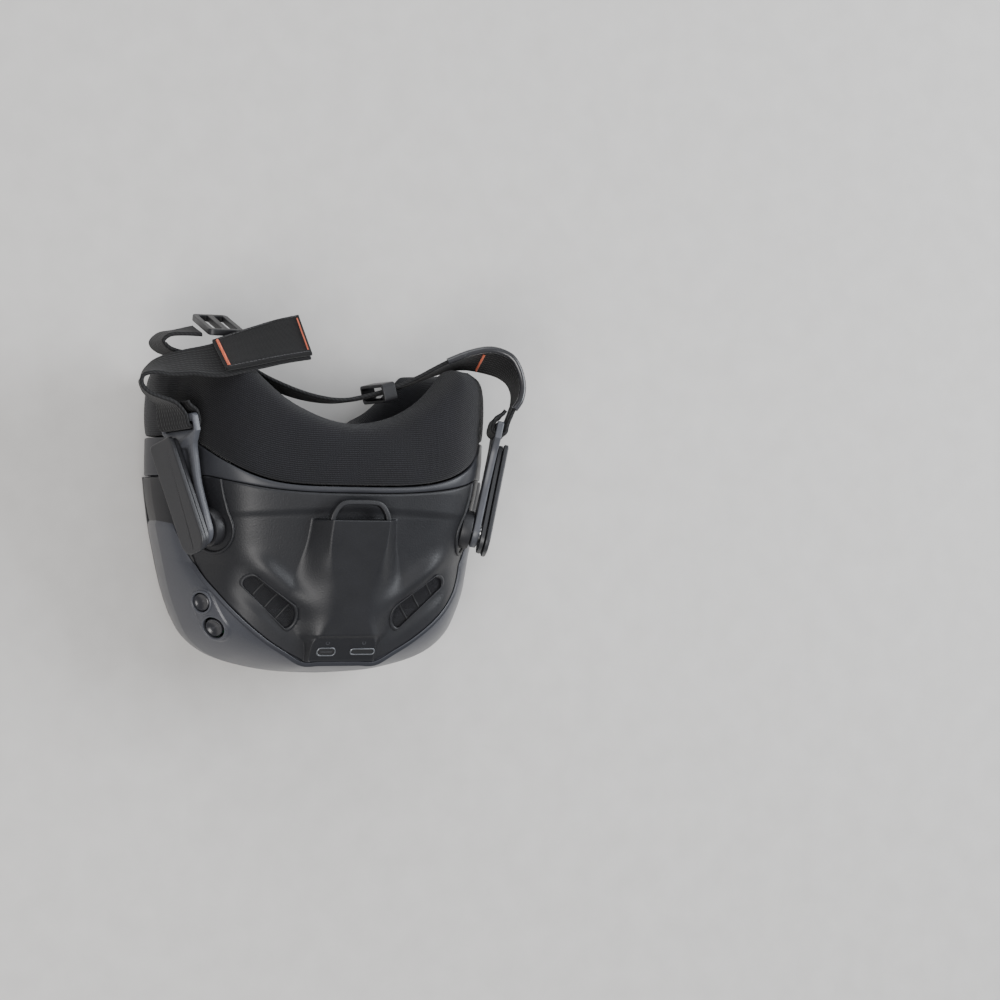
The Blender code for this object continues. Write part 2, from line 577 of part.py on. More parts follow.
FOLD_BAND = (
    ((-90.5, 74.5, 76), (-0.1, 0, -1)), ((-96, 77.6, 76.5), (0.1, 0, -1)), ((-100.5, 80.6, 77), (0.25, 0, -1)),
    ((-103.2, 84.2, 77.5), (0.28, 0.03, -1)), ((-102.6, 88, 78), (0.28, 0.1, -1)),
    ((-98.3, 90.8, 79), (0.25, 0.25, -1)), ((-91.5, 92.5, 80), (0.15, 0.42, -0.92)),
    ((-80.8, 94.5, 82), (0.05, 0.5, -0.86)), ((-67.5, 95.8, 84), (0.08, 0.66, -0.74)),
    ((-52, 100.6, 86), (0.08, 0.76, -0.64)), ((-38, 104.8, 88), (0.05, 0.8, -0.56)),
    ((-26, 107.5, 89), (0, 0.8, -0.5)))
REAR_BAND = (
    ((91, 75.5, 75), (0.3, -0.05, -0.95)), ((93.3, 80.5, 75), (0.25, -0.05, -1)), ((93.8, 87, 74.5), (0.2, -0.1, -1)),
    ((91, 93.5, 74), (0.15, -0.25, -1)), ((85, 98.6, 73), (0.05, -0.33, -1)), ((75, 101, 71), (0, -0.36, -1)),
    ((65, 100, 69), (0.05, -0.28, -1)), ((54.5, 96.3, 66.5), (0.08, -0.22, -1)), ((40, 89.3, 63.5), (0.05, -0.15, -1)),
    ((27, 84.3, 61.5), (0, -0.1, -1)), ((13, 80.6, 60), (0, -0.05, -1)), ((0, 79, 59), (0, 0, -1)),
    ((-16, 81.3, 58.5), (0, 0, -1)), ((-34, 87.5, 58), (0, 0, -1)), ((-52, 95.8, 57), (0, 0, -1)),
    ((-70, 98.8, 56), (0, 0, -1)), ((-80, 100, 55.5), (0, 0, -1)), ((-86.5, 102, 55), (0, 0, -1)),
    ((-89.5, 105.5, 55), (0, 0, -1)), ((-86, 109, 55.5), (0, 0.05, -1)), ((-78.5, 110.3, 56.5), (0, 0.1, -1)),
    ((-70, 111.3, 57.5), (0, 0.2, -1)))


def build_straps():
    ribbon("strap_fold_band", FOLD_BAND, "webbing")
    ribbon("strap_rear_band", REAR_BAND, "webbing")
    tab = []
    for centre, across in FOLD_BAND[-4:]:
        w = Vector(across).normalized()
        lift = w.cross(Vector((1, 0, 0))).normalized()
        tab.append((Vector(centre) + (lift if lift.z > 0 else -lift) * 2.9, across))
    ribbon("strap_tab", tab, "webbing", 24, 2.2)
    for name, (low, high) in {"bartack_fold": (0.80, 0.86), "bartack_tab": (-0.42, -0.36)}.items():
        a, b = Vector(FOLD_BAND[-2][0]), Vector(FOLD_BAND[-1][0])
        if low < 0:
            a, b, low, high = Vector(FOLD_BAND[-5][0]), Vector(FOLD_BAND[-4][0]), 0.72, 0.80
        w = Vector(FOLD_BAND[-1][1] if low > 0.79 else FOLD_BAND[-4][1]).normalized()
        lift = w.cross(Vector((1, 0, 0))).normalized()
        lift = lift if lift.z > 0 else -lift
        raise_by = 4.9 if low > 0.79 else 1.9
        span = [(a.lerp(b, s) + lift * raise_by, w) for s in (low, high)]
        ribbon(name, span, "orange_thread", 22, 0.7)
    c, across = Vector(REAR_BAND[5][0]), Vector(REAR_BAND[5][1]).normalized()
    ribbon("bartack_rear", [(c + Vector((x, -2.0, 0.4)), across) for x in (-1.2, 1.2)], "orange_thread", 20, 0.7)
    path, side = [], []
    for centre, across in REAR_BAND[:8]:
        w = Vector(across).normalized()
        path.append(Vector(centre) - w * (STRAP_W / 2 + 2.2))
    cable = bpy.data.curves.new("power_cable", "CURVE")
    cable.dimensions = "3D"
    cable.bevel_depth = 1.7 * MM
    cable.bevel_resolution = 2
    cable.use_fill_caps = True
    cable.resolution_u = 3
    line = cable.splines.new("NURBS")
    line.points.add(len(path) - 1)
    for p, spot in zip(line.points, path):
        p.co = (*(spot * MM), 1)
    line.use_endpoint_u = True
    line.order_u = 3
    obj = bpy.data.objects.new("power_cable", cable)
    PARTS.objects.link(obj)
    material_for(obj, "cable_jacket")
    build_ring()
    return side


def build_ring():
    """Ring that the left band doubles through, and the keeper on the rear band."""
    at = Vector((-60, 114.5, 58.5))
    u, v, w = Vector((1, 0, 0)), Vector((0, 0.3, -0.954)), Vector((0, 0.954, 0.3))
    outline = [(-7, -16), (7, -16), (9, -13), (9, 13), (7, 16), (-7, 16), (-9, 13), (-9, -13)]
    ring = prism("strap_ring", outline, at, u, v, w, -1.6, 1.6, "black_plastic")
    for i, (a, b) in enumerate(((-6.2, -1.6), (1.6, 6.2))):
        slot = [(a, -13.2), (b, -13.2), (b, 13.2), (a, 13.2)]
        boolean(ring, prism(f"ring_slot_{i}", slot, at, u, v, w, -9, 9))
    c = Vector((24, 83.5, 61.2))
    run = Vector((0.970, 0.243, 0))
    face = Vector((-0.243, 0.970, 0))
    rings = [(-4.8, -16), (4.8, -16), (4.8, 16), (-4.8, 16)]
    keeper = prism("band_keeper", rings, c, face, (0, 0, 1), run, -3.5, 3.5, "black_plastic")
    hole = [(-3.0, -13.8), (3.0, -13.8), (3.0, 13.8), (-3.0, 13.8)]
    boolean(keeper, prism("keeper_hole", hole, c, face, (0, 0, 1), run, -9, 9))


build_top_panel()
build_front_shell()
build_bottom_shell()
build_face()
build_optics()
build_ports_and_vents()
build_buttons()
for side, word in ((-1, "right"), (1, "left")):
    build_side(side, word)
build_straps()

for obj in PARTS.objects:
    if obj.type == "MESH" and any(m.type == "SCREW" for m in obj.modifiers):
        for polygon in obj.data.polygons:
            polygon.use_smooth = True
bpy.context.view_layer.update()
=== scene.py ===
import math

import bmesh
import bpy
from mathutils import Matrix, Vector, noise


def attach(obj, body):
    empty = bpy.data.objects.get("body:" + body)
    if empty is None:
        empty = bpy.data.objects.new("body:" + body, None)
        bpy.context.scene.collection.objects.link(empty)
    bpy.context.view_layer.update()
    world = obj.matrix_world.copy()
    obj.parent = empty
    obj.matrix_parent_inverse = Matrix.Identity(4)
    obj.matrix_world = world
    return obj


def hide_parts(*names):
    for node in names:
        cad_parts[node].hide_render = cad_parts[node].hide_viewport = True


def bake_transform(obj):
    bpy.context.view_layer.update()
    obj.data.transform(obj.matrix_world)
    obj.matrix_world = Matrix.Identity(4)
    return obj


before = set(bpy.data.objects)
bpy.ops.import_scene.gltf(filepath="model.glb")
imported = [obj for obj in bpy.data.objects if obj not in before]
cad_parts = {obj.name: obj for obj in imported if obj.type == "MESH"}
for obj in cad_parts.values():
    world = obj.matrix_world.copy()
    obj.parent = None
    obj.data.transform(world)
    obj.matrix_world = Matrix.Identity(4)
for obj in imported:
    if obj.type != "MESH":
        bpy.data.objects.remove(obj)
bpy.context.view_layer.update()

MM = 0.001

# ---------------------------------------------------------------- driving shapes, in millimetres, as in the CAD
BORDER_PATH = ((0, -50.5), (10, -50.5), (19, -50.5), (28, -45.5), (37, -40), (45, -34), (51.8, -28), (57.5, -22),
               (61.8, -16.5), (66.2, -10), (70, -2.4), (75, 9.9), (79, 23.8), (82, 39.7))
WIDE_PATH = ((0, -58), (12, -57.6), (25, -56.6), (39, -54.2), (52, -50.5), (61.5, -45.5), (68.5, -38.5), (73, -29.5),
             (77, -19), (79.6, -9), (81.8, 1), (84.2, 12), (86.4, 25), (88.1, 39.7))
WIDE_Z, SEAM_Z = 40, 16
OUTER = ((0, None), (12, None), (25, None), (37, None), (47, None), (55, None), (62, None), (68, None), (74, None),
         (79.5, None), (84, None), (87.5, 42), (88, 32), (85, 20), (77, 10), (63, 4.5), (46, 3), (32, 3), (24, 5.5),
         (20, 12), (15.5, 21), (9.5, 29.5), (0, 34))
INNER = ((0, 81), (10, 81), (21, 80.5), (31, 79.5), (39, 77.5), (45.5, 75), (51, 71.5), (56, 67.5), (60.5, 62.5),
         (64, 57), (67, 51), (69, 44), (69, 36), (67, 29), (62, 22.5), (54, 18), (45, 16.5), (38, 18), (32.5, 22),
         (28, 28), (22, 35), (13, 42), (0, 46))
VENT = ((53, -12.5), (51.8, -9), (47.8, -7.5), (26.5, -23), (24.8, -27), (25.5, -32), (29, -35))
PIVOT = (76.7, 13.5, 76.0)
SPLAY, LEAN, PITCH = math.radians(12.5), math.radians(18), math.radians(12)
BUTTONS = {
    "back_button": (Vector((-67.8, -21.5, 63.4)), Vector((-0.76, -0.22, 0.61)).normalized()),
    "five_way": (Vector((-61.2, -33.8, 63.6)), Vector((-0.68, -0.42, 0.60)).normalized()),
}
FOLD_BAND = (
    ((-90.5, 74.5, 76), (-0.1, 0, -1)), ((-96, 77.6, 76.5), (0.1, 0, -1)), ((-100.5, 80.6, 77), (0.25, 0, -1)),
    ((-103.2, 84.2, 77.5), (0.28, 0.03, -1)), ((-102.6, 88, 78), (0.28, 0.1, -1)),
    ((-98.3, 90.8, 79), (0.25, 0.25, -1)), ((-91.5, 92.5, 80), (0.15, 0.42, -0.92)),
    ((-80.8, 94.5, 82), (0.05, 0.5, -0.86)), ((-67.5, 95.8, 84), (0.08, 0.66, -0.74)),
    ((-52, 100.6, 86), (0.08, 0.76, -0.64)), ((-38, 104.8, 88), (0.05, 0.8, -0.56)),
    ((-26, 107.5, 89), (0, 0.8, -0.5)))
REAR_BAND = (
    ((91, 75.5, 75), (0.3, -0.05, -0.95)), ((93.3, 80.5, 75), (0.25, -0.05, -1)), ((93.8, 87, 74.5), (0.2, -0.1, -1)),
    ((91, 93.5, 74), (0.15, -0.25, -1)), ((85, 98.6, 73), (0.05, -0.33, -1)), ((75, 101, 71), (0, -0.36, -1)),
    ((65, 100, 69), (0.05, -0.28, -1)), ((54.5, 96.3, 66.5), (0.08, -0.22, -1)), ((40, 89.3, 63.5), (0.05, -0.15, -1)),
    ((27, 84.3, 61.5), (0, -0.1, -1)), ((13, 80.6, 60), (0, -0.05, -1)), ((0, 79, 59), (0, 0, -1)),
    ((-16, 81.3, 58.5), (0, 0, -1)), ((-34, 87.5, 58), (0, 0, -1)), ((-52, 95.8, 57), (0, 0, -1)),
    ((-70, 98.8, 56), (0, 0, -1)), ((-80, 100, 55.5), (0, 0, -1)), ((-86.5, 102, 55), (0, 0, -1)),
    ((-89.5, 105.5, 55), (0, 0, -1)), ((-86, 109, 55.5), (0, 0.05, -1)), ((-78.5, 110.3, 56.5), (0, 0.1, -1)),
    ((-70, 111.3, 57.5), (0, 0.2, -1)))
STRAP_W = 25


def lerp(table, value):
    for (a, p), (b, q) in zip(table, table[1:]):
        if value <= b:
            share = max(0, (value - a) / (b - a))
            return p + (q - p) * share
    return table[-1][1]


def smooth(low, high, value):
    """Smooth step from low to high; it falls where low is above high."""
    s = max(0.0, min(1.0, (value - low) / (high - low)))
    return s * s * (3 - 2 * s)


def spline(table, value):
    """Catmull-Rom through (key, number) pairs."""
    if value <= table[0][0]:
        return table[0][1]
    for i in range(len(table) - 1):
        if value <= table[i + 1][0]:
            (a, p1), (b, p2) = table[i], table[i + 1]
            p0 = table[max(i - 1, 0)][1]
            p3 = table[min(i + 2, len(table) - 1)][1]
            s = (value - a) / (b - a)
            return 0.5 * (2 * p1 + (p2 - p0) * s + (2 * p0 - 5 * p1 + 4 * p2 - p3) * s * s
                          + (3 * p1 - p0 - 3 * p2 + p3) * s ** 3)
    return table[-1][1]


def curve_points(points, steps):
    """Catmull-Rom through vectors, with steps samples to a span."""
    points = [Vector(p) for p in points]
    out = []
    for i in range(len(points) - 1):
        p0, p1 = points[max(i - 1, 0)], points[i]
        p2, p3 = points[i + 1], points[min(i + 2, len(points) - 1)]
        for k in range(steps):
            s = k / steps
            out.append(0.5 * (2 * p1 + (p2 - p0) * s + (2 * p0 - 5 * p1 + 4 * p2 - p3) * s * s
                              + (3 * p1 - p0 - 3 * p2 + p3) * s ** 3))
    out.append(points[-1].copy())
    return out


CENTRE_LINE = ((-50.5, 74.5), (-40, 77.5), (-28, 81), (-3, 88), (20, 94.5), (33, 97.5), (45, 99), (70, 101))


def top_z(x, y):
    centre = lerp(CENTRE_LINE, y)
    shoulder = lerp(((-16, 59), (-3, 57.5), (45, 64)), y)
    fall = 1.9 * 5 * math.log(1 + math.exp((abs(x) - shoulder) / 5))
    return centre - 0.0012 * x * x - fall


def platform_edges(y):
    """Half widths of the platform's top and of its foot."""
    half = spline(((-50.5, 17), (-41, 16.6), (-37, 13), (-27, 8.5), (-12, 9), (-2, 12.6), (8, 14.4), (20, 14.5)), y)
    foot = spline(((-50.5, 18.6), (-41, 19.6), (-37, 24), (-27, 29), (-12, 29), (-2, 26), (8, 23.2), (20, 22)), y)
    return half, foot


def panel_z(x, y):
    """The top surface with its platform, hoods and crease."""
    z = top_z(x, y)
    crest = lerp(((-49.8, 76.4), (-38.6, 82.6), (-37.2, 84.4), (-10, 94.2), (20, 105.3)), y)
    half, foot = platform_edges(y)
    side = max(0.0, min(1.0, (foot - abs(x)) / (foot - half)))
    soft = smooth(10, -8, y) * smooth(-41, -37, y)
    side = side * (1 - soft) + smooth(0, 1, side) * soft
    rear = max(0.0, min(1.0, (20.3 - y) / 0.9))
    z += max(0.0, crest - z) * side * rear
    z += 0.8 * smooth(23, 27, y + 0.06 * abs(x)) * (1 - smooth(60, 75, abs(x))) * (1 if y > 21 or abs(x) > 22 else 0)
    u = (abs(x) - 38.4) * -0.79 + (y + 20.6) * -0.61
    v = (abs(x) - 38.4) * -0.61 + (y + 20.6) * 0.79
    hood = math.exp(-((u + 2) / 20) ** 4) * math.exp(-((v - 9.5) / 5.2) ** 2)
    dip = math.exp(-(u / 20) ** 4) * math.exp(-((v + 1) / 6.5) ** 4)
    return z + 2.6 * hood - 1.2 * dip


def panel_end(x):
    return 32.5 + 6 * (min(abs(x), 70) / 65) ** 3


def foam_seam(x):
    return 36 + 21 * (min(abs(x), 77) / 75) ** 4


def foam_face(x, z):
    return 66.5 + 0.0085 * min(abs(x), 58) ** 2 - 0.06 * max(0, 60 - z)


def pivot_frame(side):
    at = Vector((side * PIVOT[0], PIVOT[1], PIVOT[2]))
    back = Vector((side * math.sin(SPLAY), math.cos(SPLAY), 0))
    out = Vector((side * math.cos(SPLAY) * math.cos(LEAN), -math.sin(SPLAY) * math.cos(LEAN), math.sin(LEAN)))
    up = Vector((-side * math.cos(SPLAY) * math.sin(LEAN), math.sin(SPLAY) * math.sin(LEAN), math.cos(LEAN)))
    return at, back, out, up


# ---------------------------------------------------------------- materials
def nodes_of(mat):
    mat.use_nodes = True
    tree = mat.node_tree
    return tree, tree.nodes["Principled BSDF"]


def link(tree, a, b):
    tree.links.new(a, b)


def add(tree, kind, **values):
    node = tree.nodes.new(kind)
    for key, value in values.items():
        if key in node.inputs:
            node.inputs[key].default_value = value
        else:
            setattr(node, key, value)
    return node


def ramp(tree, source, stops):
    node = tree.nodes.new("ShaderNodeValToRGB")
    node.color_ramp.elements[0].position, node.color_ramp.elements[0].color = stops[0][0], (*stops[0][1], 1)
    node.color_ramp.elements[1].position, node.color_ramp.elements[1].color = stops[-1][0], (*stops[-1][1], 1)
    for place, colour in stops[1:-1]:
        node.color_ramp.elements.new(place).color = (*colour, 1)
    link(tree, source, node.inputs["Fac"])
    return node.outputs["Color"]


def mix(tree, fac, a, b, mode="MIX"):
    node = tree.nodes.new("ShaderNodeMix")
    node.data_type = "RGBA"
    node.blend_type = mode
    for value, socket in ((fac, node.inputs[0]), (a, node.inputs[6]), (b, node.inputs[7])):
        if hasattr(value, "is_linked"):
            link(tree, value, socket)
        else:
            socket.default_value = value if isinstance(value, float) else (*value, 1)
    return node.outputs[2]


def remap(tree, source, low, high, to_low, to_high):
    node = tree.nodes.new("ShaderNodeMapRange")
    for i, value in ((1, low), (2, high), (3, to_low), (4, to_high)):
        node.inputs[i].default_value = value
    link(tree, source, node.inputs[0])
    return node.outputs[0]


def math_node(tree, operation, a, b):
    node = tree.nodes.new("ShaderNodeMath")
    node.operation = operation
    for i, value in enumerate((a, b)):
        if hasattr(value, "is_linked"):
            link(tree, value, node.inputs[i])
        else:
            node.inputs[i].default_value = value
    return node.outputs[0]


def bumps(tree, shader, layers):
    """Stack of bump layers: (height, strength, distance)."""
    before = None
    for height, strength, distance in layers:
        node = add(tree, "ShaderNodeBump", Strength=strength, Distance=distance)
        link(tree, height, node.inputs["Height"])
        if before:
            link(tree, before, node.inputs["Normal"])
        before = node.outputs["Normal"]
    link(tree, before, shader.inputs["Normal"])


def plastic(name, colour, rough, grain=1800, grain_bump=0.25, grain_deep=0.00008, wear_and_edge_highlight=0.25, coat=0.0, spread=0.12):
    """Moulded plastic: mottled colour, spark-eroded grain, roughness that varies, and paler convex edges that are edge
    wear together with a painted edge highlight.
    """
    mat = bpy.data.materials.new(name)
    tree, shader = nodes_of(mat)
    place = tree.nodes.new("ShaderNodeTexCoord")
    cloud = add(tree, "ShaderNodeTexNoise", Scale=38.0, Detail=5.0, Roughness=0.6)
    fine = add(tree, "ShaderNodeTexNoise", Scale=float(grain), Detail=3.0, Roughness=0.55)
    cells = add(tree, "ShaderNodeTexVoronoi", Scale=float(grain) * 0.7)
    for node in (cloud, fine, cells):
        link(tree, place.outputs["Object"], node.inputs["Vector"])
    dark = tuple(c * (1 - spread) for c in colour)
    pale = tuple(min(1, c * (1 + spread)) for c in colour)
    base = ramp(tree, cloud.outputs["Fac"], ((0.3, dark), (0.55, colour), (0.75, pale)))
    speck = ramp(tree, fine.outputs["Fac"], ((0.35, (0.86, 0.86, 0.86)), (0.7, (1.12, 1.12, 1.12))))
    base = mix(tree, 1.0, base, speck, "MULTIPLY")
    edge = tree.nodes.new("ShaderNodeNewGeometry")
    # paler convex edges from pointiness: edge wear together with a painted edge highlight
    worn_and_highlit_edges = remap(tree, edge.outputs["Pointiness"], 0.52, 0.62, 0.0, wear_and_edge_highlight)
    base = mix(tree, worn_and_highlit_edges, base, tuple(min(1, c * 2.2 + 0.03) for c in colour))
    link(tree, base, shader.inputs["Base Color"])
    link(tree, remap(tree, cloud.outputs["Fac"], 0.3, 0.75, rough - 0.06, rough + 0.06), shader.inputs["Roughness"])
    bumps(tree, shader, ((fine.outputs["Fac"], grain_bump, grain_deep),
                         (cells.outputs["Distance"], grain_bump * 0.5, grain_deep)))
    if coat:
        shader.inputs["Coat Weight"].default_value = coat
        shader.inputs["Coat Roughness"].default_value = 0.25
    return mat


def metal(name, colour, rough, stretch=(1, 1, 30)):
    mat = bpy.data.materials.new(name)
    tree, shader = nodes_of(mat)
    place = tree.nodes.new("ShaderNodeTexCoord")
    scale = tree.nodes.new("ShaderNodeMapping")
    scale.inputs["Scale"].default_value = stretch
    link(tree, place.outputs["Object"], scale.inputs["Vector"])
    lines = add(tree, "ShaderNodeTexNoise", Scale=700.0, Detail=4.0)
    link(tree, scale.outputs["Vector"], lines.inputs["Vector"])
    link(tree, ramp(tree, lines.outputs["Fac"], ((0.3, tuple(c * 0.8 for c in colour)), (0.7, colour))),
         shader.inputs["Base Color"])
    link(tree, remap(tree, lines.outputs["Fac"], 0.3, 0.7, rough - 0.08, rough + 0.1), shader.inputs["Roughness"])
    shader.inputs["Metallic"].default_value = 1.0
    bumps(tree, shader, ((lines.outputs["Fac"], 0.15, 0.00003),))
    return mat


def knit(name, colour, rib=1.25, stitch=0.9, bump=0.9):
    """Ribbed knit: UV is in millimetres, ribs run along U."""
    mat = bpy.data.materials.new(name)
    tree, shader = nodes_of(mat)
    uv = tree.nodes.new("ShaderNodeTexCoord")
    ribs = add(tree, "ShaderNodeTexWave", Scale=0.314 / rib, Distortion=0.35, Detail=1.0)
    ribs.bands_direction = "Y"
    loops = add(tree, "ShaderNodeTexWave", Scale=0.314 / stitch, Distortion=0.6, Detail=1.5)
    loops.bands_direction = "X"
    fuzz = add(tree, "ShaderNodeTexNoise", Scale=2.2, Detail=6.0, Roughness=0.75)
    patch = add(tree, "ShaderNodeTexNoise", Scale=0.05, Detail=3.0)
    for node in (ribs, loops, fuzz, patch):
        link(tree, uv.outputs["UV"], node.inputs["Vector"])
    weave = math_node(tree, "MULTIPLY", ribs.outputs["Fac"], remap(tree, loops.outputs["Fac"], 0, 1, 0.55, 1.0))
    # colour follows the weave's height: the darker grooves are painted shade, the paler rib crests a painted highlight
    dark = tuple(c * 0.35 for c in colour)
    base = ramp(tree, weave, ((0.05, dark), (0.75, colour), (1.0, tuple(min(1, c * 1.5) for c in colour))))
    base = mix(tree, 1.0, base, ramp(tree, patch.outputs["Fac"], ((0.3, (0.8, 0.8, 0.8)), (0.7, (1.15, 1.15, 1.18)))),
               "MULTIPLY")
    base = mix(tree, 1.0, base, ramp(tree, fuzz.outputs["Fac"], ((0.3, (0.75, 0.75, 0.75)), (0.75, (1.25, 1.25, 1.25)))),
               "MULTIPLY")
    link(tree, base, shader.inputs["Base Color"])
    link(tree, remap(tree, weave, 0, 1, 0.98, 0.78), shader.inputs["Roughness"])
    shader.inputs["Sheen Weight"].default_value = 0.08
    shader.inputs["Sheen Roughness"].default_value = 0.5
    bumps(tree, shader, ((weave, bump, 0.0006), (fuzz.outputs["Fac"], 0.35, 0.0002)))
    return mat


def webbing(name, colour, rib=2.6, pick=1.15, bump=0.8):
    """Woven elastic webbing: lengthwise ribs with a herringbone of picks. UV in millimetres, U along the band."""
    mat = bpy.data.materials.new(name)
    tree, shader = nodes_of(mat)
    uv = tree.nodes.new("ShaderNodeTexCoord")
    ribs = add(tree, "ShaderNodeTexWave", Scale=0.314 / rib, Distortion=0.1)
    ribs.bands_direction = "Y"
    picks = add(tree, "ShaderNodeTexWave", Scale=0.314 / pick, Distortion=0.5, Detail=1.0)
    picks.bands_direction = "DIAGONAL"
    fuzz = add(tree, "ShaderNodeTexNoise", Scale=3.0, Detail=5.0, Roughness=0.7)
    for node in (ribs, picks, fuzz):
        link(tree, uv.outputs["UV"], node.inputs["Vector"])
    weave = math_node(tree, "MULTIPLY", remap(tree, ribs.outputs["Fac"], 0, 1, 0.45, 1.0),
                      remap(tree, picks.outputs["Fac"], 0, 1, 0.5, 1.0))
    # colour follows the weave's height: the darker grooves are painted shade, the paler rib tops a painted highlight
    base = ramp(tree, weave, ((0.25, tuple(c * 0.4 for c in colour)), (0.7, colour),
                              (1.0, tuple(min(1, c * 1.7) for c in colour))))
    base = mix(tree, 1.0, base, ramp(tree, fuzz.outputs["Fac"], ((0.3, (0.7, 0.7, 0.7)), (0.7, (1.25, 1.25, 1.25)))),
               "MULTIPLY")
    link(tree, base, shader.inputs["Base Color"])
    link(tree, remap(tree, weave, 0.2, 1, 0.95, 0.7), shader.inputs["Roughness"])
    shader.inputs["Sheen Weight"].default_value = 0.06
    bumps(tree, shader, ((weave, bump, 0.0005), (fuzz.outputs["Fac"], 0.4, 0.00015)))
    return mat


def thread(name, colour):
    mat = bpy.data.materials.new(name)
    tree, shader = nodes_of(mat)
    place = tree.nodes.new("ShaderNodeTexCoord")
    twist = add(tree, "ShaderNodeTexWave", Scale=420.0, Distortion=0.8, Detail=2.0)
    twist.bands_direction = "DIAGONAL"
    link(tree, place.outputs["Object"], twist.inputs["Vector"])
    link(tree, ramp(tree, twist.outputs["Fac"], ((0.0, tuple(c * 0.6 for c in colour)), (0.6, colour))),
         shader.inputs["Base Color"])
    link(tree, remap(tree, twist.outputs["Fac"], 0, 1, 0.8, 0.55), shader.inputs["Roughness"])
    shader.inputs["Sheen Weight"].default_value = 0.3
    bumps(tree, shader, ((twist.outputs["Fac"], 0.6, 0.0001),))
    return mat


def glass(name, colour, rough, coat_tint):
    mat = bpy.data.materials.new(name)
    tree, shader = nodes_of(mat)
    place = tree.nodes.new("ShaderNodeTexCoord")
    smear = add(tree, "ShaderNodeTexNoise", Scale=55.0, Detail=6.0, Roughness=0.7)
    link(tree, place.outputs["Object"], smear.inputs["Vector"])
    link(tree, ramp(tree, smear.outputs["Fac"], ((0.3, colour), (0.75, coat_tint))), shader.inputs["Base Color"])
    link(tree, remap(tree, smear.outputs["Fac"], 0.3, 0.8, rough, rough + 0.08), shader.inputs["Roughness"])
    shader.inputs["Coat Weight"].default_value = 0.8
    shader.inputs["Coat Roughness"].default_value = 0.04
    bumps(tree, shader, ((smear.outputs["Fac"], 0.03, 0.00005),))
    return mat


MATTE = plastic("panel_grained", (0.0088, 0.0090, 0.0112), 0.48, 1500, 0.5, 0.00012, 0.3)
SATIN = plastic("visor_satin", (0.052, 0.054, 0.064), 0.38, 2600, 0.12, 0.00005, 0.3, 0.1, 0.05)
FRAME = plastic("frame_smooth", (0.027, 0.028, 0.033), 0.44, 2400, 0.18, 0.00005, 0.3)
BLACK = plastic("black_textured", (0.010, 0.010, 0.012), 0.48, 1700, 0.4, 0.0001, 0.35)
# darker copy of the black plastic, used only on the vent ribs and port throats: painted shade
RECESS_SHADE_BLACK = plastic("black_recess_painted_shade", (0.006, 0.006, 0.007), 0.6, 1300, 0.4, 0.0001, 0.2)
ARM = plastic("arm_grey", (0.070, 0.073, 0.084), 0.42, 2400, 0.2, 0.00005, 0.35)
PADDLE = plastic("paddle_matte", (0.0150, 0.0154, 0.0180), 0.42, 1900, 0.25, 0.00008, 0.6)
GLOSS = plastic("button_gloss", (0.016, 0.016, 0.020), 0.32, 2200, 0.15, 0.00004, 0.5, 0.3)
RUBBER = plastic("cable_jacket", (0.030, 0.030, 0.033), 0.26, 2000, 0.12, 0.00004, 0.2, 0.4)
BOARD = plastic("solder_mask", (0.010, 0.075, 0.038), 0.38, 900, 0.5, 0.0001, 0.3, 0.4)
STEEL = metal("steel_brushed", (0.62, 0.62, 0.63), 0.28)
ALLOY = metal("alloy_anodised", (0.30, 0.31, 0.33), 0.38, (30, 1, 1))
GRILLE = plastic("grille_wire", (0.013, 0.013, 0.016), 0.55, 2600, 0.2, 0.00004, 0.0)
LENS = glass("lens_coated", (0.020, 0.022, 0.030), 0.03, (0.035, 0.03, 0.055))
SCREEN = glass("screen_dark", (0.004, 0.004, 0.006), 0.06, (0.01, 0.01, 0.014))
KNIT = knit("foam_knit", (0.0040, 0.0040, 0.0070), 1.0, 0.8, 0.55)
WEB = webbing("strap_web", (0.0058, 0.0058, 0.0068), 2.2, 1.1, 0.6)
FELT = knit("tab_loop_pile", (0.0034, 0.0034, 0.0042), 0.7, 0.7, 0.4)
ORANGE = thread("orange_thread", (0.78, 0.145, 0.055))
DARK_THREAD = thread("dark_thread", (0.030, 0.030, 0.034))


# ---------------------------------------------------------------- mesh tools
def make(name, points, faces, mat, body, uvs=None, replaces=(), smooth_shade=True):
    mesh = bpy.data.meshes.new(name)
    mesh.from_pydata([Vector(p) * MM for p in points], [], faces)
    if uvs:
        layer = mesh.uv_layers.new(name="UVMap")
        for loop in mesh.loops:
            layer.data[loop.index].uv = uvs[loop.vertex_index]
    obj = bpy.data.objects.new(name, mesh)
    bpy.context.scene.collection.objects.link(obj)
    mesh.materials.append(mat)
    if smooth_shade:
        mesh.polygons.foreach_set("use_smooth", [True] * len(mesh.polygons))
    if body:
        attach(obj, body)
    if replaces:
        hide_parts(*replaces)
    return obj


def fix_normals(obj):
    work = bmesh.new()
    work.from_mesh(obj.data)
    bmesh.ops.recalc_face_normals(work, faces=work.faces)
    work.to_mesh(obj.data)
    work.free()


def grid_uv(rows):
    uvs = []
    down = 0.0
    for r, row in enumerate(rows):
        if r:
            down += (row[len(row) // 2] - rows[r - 1][len(row) // 2]).length
        along = 0.0
        for c, p in enumerate(row):
            if c:
                along += (p - row[c - 1]).length
            uvs.append((along, down))
    return uvs


def grid(name, rows, mat, body, replaces=(), flip=False):
    cols = len(rows[0])
    points = [p for row in rows for p in row]
    faces = []
    for r in range(len(rows) - 1):
        for c in range(cols - 1):
            a = r * cols + c
            quad = (a, a + 1, a + cols + 1, a + cols)
            faces.append(tuple(reversed(quad)) if flip else quad)
    return make(name, points, faces, mat, body, grid_uv(rows), replaces)


